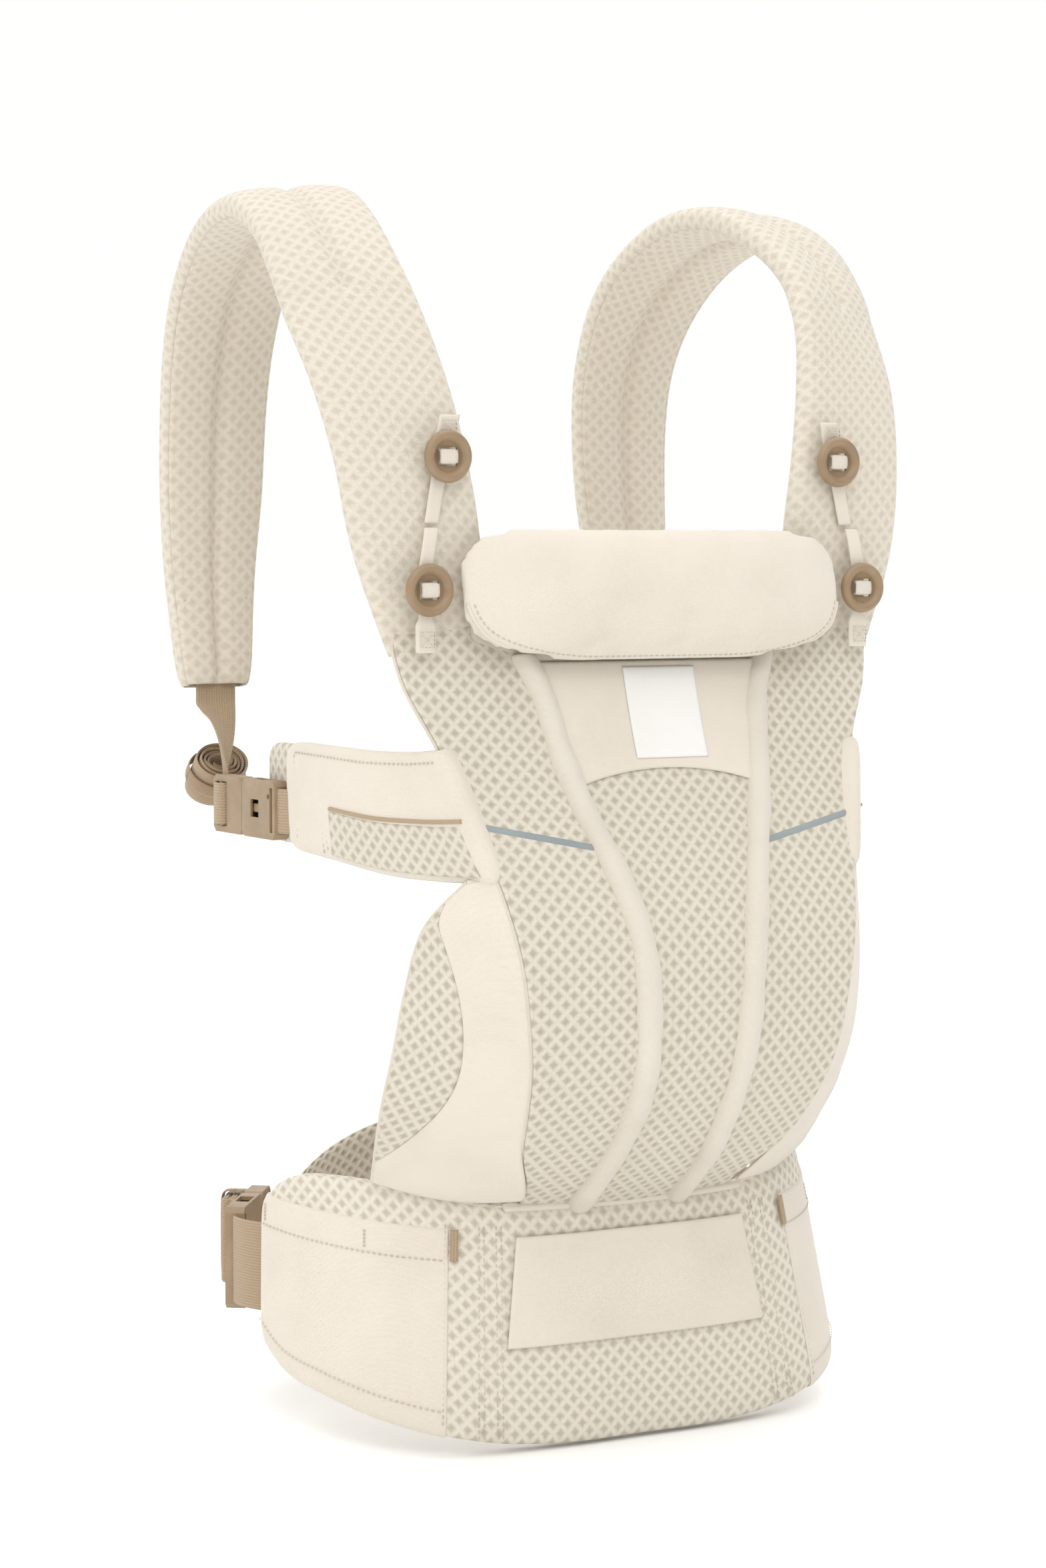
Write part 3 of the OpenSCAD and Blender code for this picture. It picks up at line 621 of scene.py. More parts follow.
for side, tag, mir in SIDES:
    b = np.linspace(0.10, 0.92, 130)[:, None]
    s = tab(WING_SEAM, b)
    a = s + (1 - s) * np.linspace(0, 1, 34)[None, :]
    ob = shell("seat_mesh_panel_" + tag, on_side(wing(a, b + 0 * a), side), 1.8, MESH, depth=1.2)
    done(ob, "carrier", "mesh", "seat_mesh_" + tag)
    b = np.linspace(0, 1, 120)[:, None]
    s = np.where((b < 0.10) | (b > 0.92), 1.0, tab(WING_SEAM, b))
    a = s * np.linspace(0, 1, 40)[None, :]
    G = on_side(wing(a, b + 0 * a), side)
    ob = shell("seat_edge_panel_" + tag, G, 2.4, COTTON, fold=(0.8, 36, 30 + side), relief=0.6)
    done(ob, "carrier", "cotton", "seat_edge_" + tag)
    b = np.linspace(0.12, 0.9, 90)
    n = unit(np.array([side * 0.55, -0.83, 0.0]))
    for off in (0.05, 0.12):
        P = wing(np.clip(tab(WING_SEAM, b) - off, 0, 1), b) * mir
        stitches("carrier", P + n * 1.2, n)
    # bound outer and top edges
    b = np.linspace(0, 1, 120)
    done(tube("seat_binding_" + tag, wing(1 + 0 * b, b) * mir, 1.6, EDGE), "carrier", "cotton")
    a = np.linspace(0, 1, 40)
    done(tube("seat_top_binding_" + tag, wing(a, 0 * a) * mir, 1.6, COTTON), "carrier", "cotton")

# ---------------------------------------------------------------- waist belt
BELT_TOP = [(0, -76), (38, -76), (75, -71), (106, -60), (134, -38), (153, -9), (164, 17), (168.5, 39)]
BELT_LOW = [(0, -93), (42, -93), (84, -90), (120, -82), (147, -62), (163, -29), (169.5, 4), (171, 37.5)]
BELT_ZT = [124, 124, 125, 130, 137, 139, 136, 120]
BELT_ZB = [0, 0, 3, 10, 18, 26, 33, 50]
BELT_END = 0.9917
POCKET_S = 0.42  # where a belt pocket begins
FLAP_TOP, FLAP_LOW = 112, 53
WAIST_Z = 84.0


def belt(s, z, o):
    """Point of the belt: s from -1 to 1 along it, raised by o from its outer face."""
    s, z, o = np.broadcast_arrays(*[np.asarray(v, float) for v in (s, z, o)])
    sg = np.where(s < 0, -1.0, 1.0)
    q = np.abs(s)
    f = (z / 124)[..., None]
    at = lambda r: cr(BELT_LOW, r) * (1 - f) + cr(BELT_TOP, r) * f
    p, d = at(q), at(np.minimum(q + 0.01, 1)) - at(np.maximum(q - 0.01, 0))
    d = np.where((q < 0.01)[..., None], np.array([1.0, 0.0]), unit(d))
    n = np.stack([d[..., 1], -d[..., 0]], -1)
    p = p + n * o[..., None]
    return np.stack([sg * p[..., 0], p[..., 1], z], -1)


def belt_loop(ss, th, m, grow=0.0, top=None):
    """Grid on the belt's padded outline; th in degrees, 0 faces out, 90 is the top edge."""
    s = np.asarray(ss)[:, None]
    q = np.abs(s)
    zt, zb = cr(BELT_ZT, q), cr(BELT_ZB, q)
    k = np.sqrt(np.clip(1 - (np.clip(q - 0.93, 0, 1) / 0.062) ** 2, 0.001, 1))
    sn, cs = superellipse(th, 7.0)
    Z = (zt + zb) / 2 + ((zt - zb) / 2 * (0.75 + 0.25 * k) + grow) * sn
    O = -5.8 + (8.3 * k + grow) * cs
    if top is not None:
        Z = np.minimum(Z, top(q))
    z, o = np.array([evenly(*row, m) for row in zip(Z, O)]).transpose(1, 0, 2)
    return belt(s, z, o).transpose(1, 0, 2)


def pocket_top(q):
    return 117 + 19 * (q - POCKET_S)


def on_flap(a, z, o):
    """Point of the flap on the middle of the belt: a from -1 to 1 across it."""
    f = (FLAP_TOP - z) / (FLAP_TOP - FLAP_LOW)
    return belt(a * (0.268 * (1 - f) + 0.29 * f), z, o)


def level(P):
    """Level directions away from the middle of the carrier."""
    return unit(P * np.array([1, 1, 0]))


ss = np.linspace(-BELT_END, BELT_END, 432)
G = belt_loop(ss, (-118, 118), 118)
q = np.abs(ss)[None, :]
relief = 1.1 * np.exp(-((G[..., 2] - 62) / 60) ** 2)
for seam in (0.305, 0.345):
    relief = relief - 1.4 * np.exp(-(((q - seam) / 0.005) ** 2))
ob = shell("belt_cover", G, 1.6, MESH_DARK, 1.3 * step(0.992, 0.97, q), relief=relief, flip=True)
done(ob, "carrier", "mesh", "belt_front", "belt_core", fill=0.7)
G = belt_loop(np.linspace(-BELT_END, BELT_END, 200), (112, 248), 60)
ob = shell("belt_lining_sheet", G, 1.6, LINING, fold=(0.9, 40, 41), flip=True)
done(ob, "carrier", "lining", "belt_lining")

for side, tag, mir in SIDES:
    ss = side * np.linspace(POCKET_S, 0.975, 170)[::side]
    G = belt_loop(ss, (-112, 80), 90, 1.1, pocket_top)
    bulge = np.sin(np.clip((np.abs(ss)[None, :] - POCKET_S) / 0.55, 0, 1) * math.pi) ** 0.6
    bulge = 1.3 * bulge * np.sin(np.clip(G[..., 2] / 122, 0, 1) * math.pi) ** 0.6
    ob = shell("belt_pocket_cover_" + tag, G, 1.3, COTTON, fold=(1.1, 34, 50 + side), relief=bulge, flip=True)
    done(ob, "carrier", "cotton", "belt_pocket_" + tag)
    # seams of the pocket: inner edge, below the top, two tacks, along the lower edge
    stitches("carrier", belt(side * 0.428, np.linspace(121, 16, 60), 4.6), np.array([side * 0.45, -0.9, 0]))
    ss = np.linspace(0.43, 0.96, 90)
    P = belt(side * ss, pocket_top(ss) - 16, 5.3)
    N = level(P)
    stitches("carrier", P, N)
    for s in (0.93, 0.60):
        for off in (0, 0.003):
            P = belt(side * (s + off), pocket_top(s) + np.linspace(-4, -13, 12), 5.2)
            stitches("carrier", P, level(P), 2.0, 1.5, 0.3)
    stitches("carrier", belt(side * ss, cr(BELT_ZB, ss) + 12, 5.4), N)
    # seam between the middle of the belt and its side strip
    for s in (0.299, 0.311, 0.339, 0.351):
        stitches("carrier", belt(side * s, np.linspace(119, 6, 60), 4.0), np.array([side * 0.2, -1, 0]))
    # folded tab at the pocket's edge
    ss = side * np.linspace(0.399, 0.417, 12)[::side]
    G = belt(ss[None, :], np.linspace(117.5, 101, 16)[:, None], 5.6)
    ob = shell("belt_tab_" + tag, G, 1.5, WEBBING, rim=0.8)
    done(ob, "carrier", "webbing", *once(side, "belt_tabs"))

G = on_flap(np.linspace(-1, 1, 130)[None, :], np.linspace(FLAP_TOP, FLAP_LOW, 54)[:, None], 5.2)
ob = shell("belt_flap_panel", G, 1.6, COTTON, fold=(0.6, 40, 61))
done(ob, "carrier", "cotton", "belt_flap")
for inset in (3.0, 6.0):
    a, top, low = 1 - inset / 78, FLAP_TOP - inset, FLAP_LOW + inset
    q = polyline([[-a, top], [-a, low], [a, low], [a, top], [-a, top]], 50)
    stitches("carrier", on_flap(q[:, 0], q[:, 1], 5.75), FRONT)

# seam roll between the panel and the belt
ss = np.linspace(-0.29, 0.29, 80)
P = belt(ss, 125.5 + 1.5 * np.abs(ss) / 0.29, 0.5)
done(tube("waist_seam", P, 2.4, COTTON), "carrier", "cotton")


def waist_webbing(name, points, n):
    P = cr([(x, y, WAIST_Z) for x, y in points], np.linspace(0, 1, n))
    return band(name, P, UP, 50, 1.6, WEBBING)


ob = waist_webbing("waist_webbing_short", [(-162, 34), (-169.5, 51), (-171.5, 60), (-171.5, 68)], 40)
done(ob, "carrier", "webbing", "waist_webbing_left")
ob = waist_webbing("waist_webbing_long", [
    (-130.4, 111), (-117.4, 128.3), (-102.8, 147.6), (-66, 172), (0, 183), (62, 178),
    (112, 160), (146, 126), (164, 84), (163, 36)], 260)
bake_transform(ob)
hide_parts("waist_webbing_right")


# ---------------------------------------------------------------- closed pads
def pad(name, f, us, vs, mat, depth=0):
    """Closed pad: f(u, v, k) gives the front (k=1) and back (k=-1) faces."""
    A, B = [f(us[None, :], vs[:, None], k) for k in (1, -1)]
    n, m = A.shape[:2]
    NA = normals(A)
    s = np.sign(np.sum(NA * (A - B)))
    U, V = lengths(A)
    w = np.clip(np.minimum(from_ends(n)[:, None], from_ends(m)[None, :]) / 4, 0, 1)
    d = (relief_of(U, V, depth, None) * w)[..., None]
    return two_faced(name, A + s * NA * d, B - s * normals(B) * d, s > 0, U, V, mat)


def lumbar(x, h, k):
    """Lumbar cushion at width x, with h from 0 at its lower edge to 1 at its top."""
    u = x / 100
    zt, zb = 143 - 28 * u * u, 42 + 12 * u * u
    g = (1 - 0.45 * u * u) * np.sqrt(np.clip(1 - np.abs(u / 1.12) ** 8, 0, 1))
    r = np.sqrt(np.clip(1 - np.abs(2 * h - 1) ** 3, 0, 1))
    y = 158 - 17 * u * u - 7 * u**6 + k * (0.4 + 7.6 * g * r)
    return np.stack([x + 0 * h, y + 0 * x, zb + (zt - zb) * h], -1)


xs = 112 * np.sin(np.linspace(-1, 1, 190) * math.pi / 2 * 0.985)
hs = 0.5 - 0.5 * np.cos(np.linspace(0, 1, 100) * math.pi)
done(pad("lumbar_cushion", lumbar, xs, hs, MESH, 1.2), "carrier", "mesh", "lumbar_pad", fill=0.8)


# ---------------------------------------------------------------- cloth puffing
def puff(ob, voxel=0.0045, pressure=4.0, cap=0.005, pins=None):
    """Inflate a closed piece with the cloth solver, keep points near where they were."""
    bpy.context.view_layer.objects.active = ob
    mod = ob.modifiers.new("remesh", "REMESH")
    mod.mode, mod.voxel_size = "VOXEL", voxel
    bpy.ops.object.modifier_apply(modifier=mod.name)
    me = ob.data
    co = np.empty(len(me.vertices) * 3)
    me.vertices.foreach_get("co", co)
    start = co.reshape(-1, 3).copy()
    cl = ob.modifiers.new("cloth", "CLOTH")
    st = cl.settings
    st.quality = 6
    st.mass = 0.2
    st.tension_stiffness = st.compression_stiffness = 12
    st.shear_stiffness = 6
    st.bending_stiffness = 0.6
    st.use_pressure = True
    st.uniform_pressure_force = pressure
    st.effector_weights.gravity = 0.0
    vg = ob.vertex_groups.new(name="held")
    vg.add([int(i) for i in np.nonzero(pins(start))[0]], 1.0, "REPLACE")
    st.vertex_group_mass = "held"
    cl.point_cache.frame_start, cl.point_cache.frame_end = 1, 20
    sc = bpy.context.scene
    for f in range(1, 21):
        sc.frame_set(f)
    ev = ob.evaluated_get(bpy.context.evaluated_depsgraph_get())
    em = ev.to_mesh()
    now = np.empty(len(em.vertices) * 3)
    em.vertices.foreach_get("co", now)
    ev.to_mesh_clear()
    now = now.reshape(-1, 3)
    ob.modifiers.remove(cl)
    sc.frame_set(1)
    move = now - start
    far = np.linalg.norm(move, axis=1, keepdims=True)
    move *= np.minimum(1, cap / np.maximum(far, 1e-9))
    me.vertices.foreach_set("co", (start + move).ravel())
    mod = ob.modifiers.new("sub", "SUBSURF")
    mod.levels = mod.render_levels = 1
    bpy.ops.object.modifier_apply(modifier=mod.name)
    me.update()
    me.polygons.foreach_set("use_smooth", np.full(len(me.polygons), True))
    return ob


# ---------------------------------------------------------------- shoulder straps
STRAP_IN = [(97, -86, 431), (99, -83, 490), (106, -81, 535), (114, -74, 575), (122, -61, 612),
    (126, -40, 641),
    (123, -8, 664), (117, 28, 678), (110, 66, 678), (107, 106, 663), (106, 139, 638), (106, 158, 604),
    (107, 166, 567), (110, 166, 518), (117, 162, 467), (124, 152, 406)]
STRAP_OUT = [(152, -82, 429), (170, -79, 490), (177, -73, 535), (183, -58, 575), (187, -34, 610),
    (188, -18, 634),
    (187, 4, 657), (185, 38, 672), (182, 78, 669), (178, 114, 653), (174, 143, 627), (171, 160, 597),
    (170, 167, 562), (170, 168, 516), (169, 163, 465), (166, 153, 406)]
GROOVE = 0.29  # where the middle groove begins


def strap_frame(t):
    a, b = cr(STRAP_IN, t), cr(STRAP_OUT, t)
    c, h = (a + b) / 2, (b - a) / 2
    e = 0.01
    d = (cr(STRAP_IN, np.minimum(t + e, 1)) + cr(STRAP_OUT, np.minimum(t + e, 1))
         - cr(STRAP_IN, np.maximum(t - e, 0)) - cr(STRAP_OUT, np.maximum(t - e, 0)))
    n = unit(np.cross(h, d))
    return c, np.linalg.norm(h, axis=-1), unit(h), n


def strap_height(u, t):
    """Half thickness at u across (-1..1): one crown low at the front, two lobes beyond."""
    two = step(GROOVE - 0.012, GROOVE + 0.006, t)
    one = 1 - 0.10 * u**2
    lob = 1.05 - 0.50 * np.exp(-((u / 0.15) ** 2)) - 0.10 * (np.abs(u) - 0.5) ** 2
    return one * (1 - two) + lob * two


def strap_grid(ts, th, m):
    """Grid on a strap's padded outline; th in degrees, 0 faces out, m points round."""
    c, a, hx, nr = strap_frame(ts)
    end = np.sqrt(np.clip(1 - (np.clip(ts - 0.972, 0, 1) / 0.031) ** 2, 0.05, 1))
    a = a * (0.80 + 0.20 * end) * (0.94 + 0.06 * step(0.0, 0.05, ts))
    b = 7.6 * (0.45 + 0.55 * end) * (0.10 + 0.90 * step(0.0, 0.06, ts))
    X, O = superellipse(th, 3.4, 500)
    rows = []
    for i, t in enumerate(ts):
        x, o = evenly(X * a[i], O * b[i] * strap_height(X, t), m)
        rows.append(c[i] + np.outer(x, hx[i]) + np.outer(o, nr[i]))
    return np.array(rows)


ts = np.linspace(0, 1, 560)
cover = strap_grid(ts, (-118, 118), 78)
back_ts = np.linspace(0.004, 0.999, 460)
back = strap_grid(back_ts, (114, 181), 34)
back_mesh = strap_grid(back_ts, (179.5, 246), 34)
for side, tag, mir in SIDES:
    ob = shell("strap_mesh_" + tag, on_side(cover, side), 1.4, MESH_SOFT, depth=1.0, flip=True)
    done(ob, "carrier", "mesh", "strap_cover_" + tag, "strap_foam_" + tag, fill=0.7)
    ob = shell("strap_back_" + tag, on_side(back, side), 1.2, MESH_SOFT, depth=0.8, flip=True)
    done(ob, "carrier", "lining", "strap_lining_" + tag)
    ob = shell("strap_inner_mesh_" + tag, on_side(back_mesh, side), 1.2, MESH_SOFT, depth=0.9, flip=True)
    done(ob, "carrier", "mesh")
    tt = np.linspace(0.3, 0.94, 300)
    c, aa, hx, nr = strap_frame(tt)
    for u0 in (-0.04, 0.04):
        u = np.full(len(tt), u0)
        for sgn in (1, -1):
            P = c + hx * (u * aa)[:, None] + nr * (sgn * 7.7 * strap_height(u, tt))[:, None]
            stitches("carrier", P * mir, nr * sgn * mir)
    # cross seams: end of the middle groove, and near the strap's end
    for t0, sgn in ((GROOVE - 0.006, 1), (0.945, 1), (0.945, -1), (0.955, 1)):
        u = np.linspace(-0.82, 0.82, 50) if t0 > 0.9 else np.linspace(-0.2, 0.2, 12)
        c, aa, hx, nr = strap_frame(np.full(len(u), t0))
        P = c + hx * (u * aa)[:, None] + nr * (sgn * (7.7 * strap_height(u, t0)))[:, None]
        P, N = P * mir, nr * sgn * mir
        stitches("carrier", P, N)
    for e in (-0.9, 0.9):
        tt = np.linspace(0.03, 0.96, 400)
        c, aa, hx, nr = strap_frame(tt)
        P = c + hx * (e * aa)[:, None] - nr * 6.4
        stitches("carrier", P * mir, -nr * mir)


# strap webbing, its rolled spare length and the keeper
DROP = [(145, 153, 413), (145.5, 151.5, 401), (147, 148, 394), (149.5, 140.5, 385), (152, 132, 376),
        (154.5, 124, 363), (156, 113.5, 345)]
TURN = [(1, 0, 0), (1, 0, 0), (1, 0, 0.1), (0.85, 0, 0.5), (0.5, 0, 0.85), (0.12, 0, 1), (0, 0, 1)]
q = np.linspace(0, 1, 90)
for side, tag, mir in SIDES:
    P, S = cr(DROP, q) * mir, cr(TURN, q) * mir
    ob = band("strap_webbing_strip_" + tag, P, S, 25, 1.5, WEBBING)
    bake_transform(ob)
    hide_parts("strap_webbing_" + tag)
    # the spare webbing, wound up: its end faces the front and up
    slope = np.array([[1, 0, 0], [0, 0.7071, 0.7071]])
    across = np.array([0, -0.7071, 0.7071])
    g = np.linspace(0, 2 * math.pi * 4.6, 420)
    r = 13.0 - 2.35 * g / (2 * math.pi)
    path = np.stack([r * np.cos(g + 2.2) + 2.0 * np.cos(g + 2.2), r * np.sin(g + 2.2)], 1)
    sag = across * (0.9 * np.sin(1.3 * g))[:, None]
    P = (path @ slope + sag + np.array([145.0, 152, 354])) * mir
    ob = band("strap_roll_webbing_" + tag, P, across, 25, 1.35, WEBBING)
    done(ob, "strap_tongue_" + tag, "webbing", "strap_roll_" + tag)
    g = np.linspace(0, 2 * math.pi, 100)
    path = np.stack([16.1 * np.cos(g), 14.1 * np.sin(g)], 1)
    P = (path @ slope + np.array([145.0, 152, 354])) * mir
    ob = band("keeper_" + tag, P, across, 9, 1.1, ELASTIC)
    done(ob, "strap_tongue_" + tag, "elastic", "roll_keeper_" + tag)

# ---------------------------------------------------------------- side arms
ARM_TOP = [(129.5, -102, 378), (135.5, -76, 375.5), (144, -46, 375), (149, -8, 376), (152, 37, 377)]
ARM_LOW = [(112.5, -128, 313), (124.5, -94, 312), (136.5, -56, 313), (146.5, -14, 318), (151, 37, 322)]


def arm_line(C, q):
    """Point of an arm's edge curve, which runs on before its start and past its end."""
    past, before = max(0, q - 1), min(q, 0)
    return (cr(C, np.array([np.clip(q, 0, 1)]))[0] + np.array([-22 * past**2, 115 * past, 0])
            + np.array([90, -70, 0]) * before)


def arm_grid(av, th, m, half, mid, grow, end_round):
    """Grid on an arm's padded outline at the stations av; th in degrees, m points round."""
    Hn, O = superellipse(th, 5.0)
    rows = []
    for a in av:
        T, B = arm_line(ARM_TOP, a), arm_line(ARM_LOW, a)
        d = unit(arm_line(ARM_TOP, a + 0.02) + arm_line(ARM_LOW, a + 0.02)
                 - arm_line(ARM_TOP, a - 0.02) - arm_line(ARM_LOW, a - 0.02))
        v = (T - B) / 2
        vz = unit(v)
        nr = unit(np.cross(d, vz))
        k = math.sqrt(max(0.04, 1 - (max(0.0, a - (av[-1] - end_round)) / end_round) ** 2 * 0.97))
        hh = (np.linalg.norm(v) + grow) * (0.72 + 0.28 * k)
        y, o = evenly(hh * Hn, mid + half * (0.55 + 0.45 * k) * O, m)
        rows.append((T + B) / 2 + np.outer(y, vz) + np.outer(o, nr))
    return np.array(rows)


arm_cover = arm_grid(np.linspace(-0.12, 0.97, 150), (-112, 112), 84, 6.0, -1.2, 1.2, 0.07)
arm_pad = arm_grid(np.linspace(0.12, 1.28, 170), (-179, 179), 124, 3.3, -3.9, -0.6, 0.14)


def on_arm(a, b, o):
    T, B = cr(ARM_TOP, a), cr(ARM_LOW, a)
    d = unit(cr(ARM_TOP, np.minimum(a + 0.02, 1)) - cr(ARM_TOP, np.maximum(a - 0.02, 0)))
    v = unit(T - B)
    nr = unit(np.cross(d, v))
    return T * (1 - b)[:, None] + B * b[:, None] + nr * o, nr


for side, tag, mir in SIDES:
    ob = shell("arm_cotton_" + tag, on_side(arm_cover, side), 1.2, COTTON, fold=(0.8, 34, 80 + side))
    done(ob, "carrier", "cotton", "arm_cover_" + tag)
    ob = shell("arm_mesh_pad_" + tag, on_side(arm_pad, side), 1.0, MESH, depth=0.9, close=True)
    done(ob, "carrier", "mesh", "arm_pad_" + tag, fill=0.6)
    # mesh inset on the lower rear of the cotton cover
    A, B = np.meshgrid(np.linspace(0.04, 0.74, 80), np.linspace(0.56, 0.97, 26), indexing="ij")
    P, nr = on_arm(A.ravel(), B.ravel(), 5.4)
    G = on_side(P.reshape(A.shape + (3,))[:, ::-1], side)
    ob = shell("arm_inset_" + tag, G, 0.9, MESH, depth=0.5, rim=1.0)
    done(ob, "carrier", "mesh")
    # welt
    aa = np.linspace(0.0, 0.73, 60)
    P, nr = on_arm(aa, 0.52 + 0.02 * aa, 5.4)
    ob = tube("arm_welt_" + tag, P * mir, 1.9, WEBBING, 10, 0.7)
    done(ob, "carrier", "webbing", *once(side, "arm_welts"))
    for a0, a1, b0, b1 in ((0.04, 0.9, 0.05, 0.05), (0.76, 0.76, 0.42, 0.97), (0.78, 0.78, 0.40, 0.97),
                           (0.04, 0.76, 0.43, 0.43), (0.9, 0.9, 0.06, 0.94)):
        s = np.linspace(0, 1, 80)
        P, nr = on_arm(a0 + (a1 - a0) * s, b0 + (b1 - b0) * s, 5.6)
        stitches("carrier", P * mir, nr * mir)
    # webbing that joins the arm to the buckle housing
    P = cr([(150.5, 24, 340), (155.5, 34, 340), (156.5, 39.5, 340), (156.5, 44, 340)],
           np.linspace(0, 1, 24)) * mir
    done(band("arm_webbing_" + tag, P, UP, 25, 1.5, WEBBING), "carrier", "webbing")

# ---------------------------------------------------------------- head support
HD, HW, HT, TOP = 74.0, 120.5, 19.0, 496.0


HEAD_SHAPE = [(0, 0.77), (0.06, 0.89), (0.15, 0.955), (0.3, 0.985), (0.5, 1), (0.65, 0.985), (0.76, 0.94),
              (0.86, 0.84), (0.94, 0.68), (1, 0.45)]


def head_half(t):
    return HW * tab(HEAD_SHAPE, t / HD)


def head(u, t, k):
    x = u * head_half(t)
    yb = -97.5 - 7.6 * t / HD - 2 * (1 - (x / HW) ** 2)
    across = np.sqrt(np.clip(1 - u**4, 0, 1))
    full = 1.6 + (HT - 5.0) * across * np.sqrt(np.clip(1 - np.abs(2 * t / HD - 1) ** 2.5, 0, 1))
    return np.stack([x, yb - (full if k > 0 else 0), TOP - t + 0 * x], -1)


us = np.sin(np.linspace(-1, 1, 150) * math.pi / 2)
tt = HD * (0.5 - 0.5 * np.cos(np.linspace(0, 1, 60) * math.pi))
cushion = pad("head_pad", head, us, tt, COTTON)
puff(cushion, 0.0042, 5.0, 0.0035, pins=lambda co: (co[:, 2] > 0.488) & (co[:, 1] > -0.104))
done(cushion, "head_support", "cotton", "head_cushion", fill=0.7)
tree = BVHTree.FromPolygons([v.co for v in cushion.data.vertices],
                            [p.vertices for p in cushion.data.polygons])


def on_head(x, z):
    out = []
    for a, b in zip(x, z):
        hit = tree.ray_cast(Vector((a / 1000, -0.2, b / 1000)), Vector((0, 1, 0)))
        if hit[0] is not None:
            out.append(np.array(hit[0]) * 1000 - np.array([0, 0.2, 0]))
    return np.array(out)


def head_outline(inset):
    t = np.concatenate([np.linspace(0.5, 1, 60), np.ones(40), np.linspace(1, 0.5, 60)]) * HD
    x = np.concatenate([-head_half(t[:60]), np.linspace(-0.38, 0.38, 42)[1:-1] * HW, head_half(t[100:])])
    P = np.stack([x, 0 * x, TOP - t], 1)
    P = curve_points(P, 4.0)[:, [0, 2]]
    P = np.stack([np.convolve(np.pad(P[:, k], 3, "edge"), np.ones(7) / 7, "valid") for k in (0, 1)], 1)
    d = unit(np.gradient(P, axis=0))
    P = P + np.stack([-d[:, 1], d[:, 0]], 1) * inset
    return on_head(P[:, 0], P[:, 1])


done(tube("head_seam", curve_points(head_outline(3.4), 2.0), 1.0, COTTON, 8), "head_support", "cotton")
stitches("head_support", head_outline(6.2), np.array([0, -1, -0.25]))

# cloth of the fold between the panel and the head support
g = np.linspace(0, 1, 26)
prof = cr([(-87.0, 474), (-86.5, 483), (-88.5, 490.5), (-93.5, 495.2), (-99, 495.2), (-103, 490)], g)
x = np.linspace(-78, 78, 90)[None, :]
G = np.stack([x + 0 * g[:, None], prof[:, 0][:, None] + 0 * x, prof[:, 1][:, None] + 0 * x], -1)
fold = shell("head_fold_cloth", G, 1.4, COTTON, fold=(0.5, 24, 90), flip=True)
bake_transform(fold)


# ---------------------------------------------------------------- tapes and buttons
def tape_strip(name, P, width, body, nodes):
    return done(band(name, P, ACROSS, width, 1.3, COTTON), body, "cotton", *nodes)


def button(name, centre, body, nodes):
    """Round button: turned disc with a rim, a sunk face and a slot through its middle."""
    n = 72
    w = np.linspace(0, 2 * math.pi, n, endpoint=False)
    slot = []
    for q in w:
        c, s = math.cos(q), math.sin(q)
        k = 1 / max(abs(c) / 5.6, abs(s) / 5.0)
        slot.append((k * c, k * s))
    slot = np.array(slot)
    prof = [(0, 0.0), (0, 1.2), (0.25, 1.5), (6.9, 1.6), (7.8, 1.8), (8.6, 2.7), (9.5, 3.7),
            (10.5, 4.4), (11.5, 4.6),
            (12.5, 4.3), (13.4, 3.5), (13.9, 2.5), (14, 1.7), (13.7, 0.8), (13.0, 0.2), (11, 0.0)]
    rings = []
    for r, h in prof:
        f = np.clip((r - 0.25) / 7.0, 0, 1) ** 0.6 if r > 0.25 else (0.0 if r == 0 else 0.03)
        circ = np.stack([np.cos(w), np.sin(w)], 1) * max(r, 7.8)
        xy = slot * (1 - f) + circ * f if r < 7.25 else np.stack([np.cos(w), np.sin(w)], 1) * r
        rings.append(np.column_stack([xy[:, 0], np.full(n, -h), xy[:, 1]]))
    V = np.concatenate(rings) + np.asarray(centre, float)
    F = []
    m = len(rings)
    for i in range(m):
        a, b = i * n, ((i + 1) % m) * n
        for j in range(n):
            q = (j + 1) % n
            F.append([a + j, b + j, b + q, a + q])
    ob = make_mesh(name, V, np.array(F), BUTTON)
    return done(ob, body, "plastic", *nodes)


def elastic_loop(name, centre, body):
    x, y, z = centre
    P = cr([(x, y - 0.2, z + 4.4), (x, y - 2.6, z + 4.6), (x, y - 4.5, z + 4.0), (x, y - 5.3, z + 1.6),
            (x, y - 5.3, z - 1.6), (x, y - 4.5, z - 4.0), (x, y - 2.6, z - 4.6), (x, y - 0.2, z - 4.4)],
           np.linspace(0, 1, 40))
    return done(band(name, P, ACROSS, 10.6, 1.1, CREAM_ELASTIC), body, "cotton")


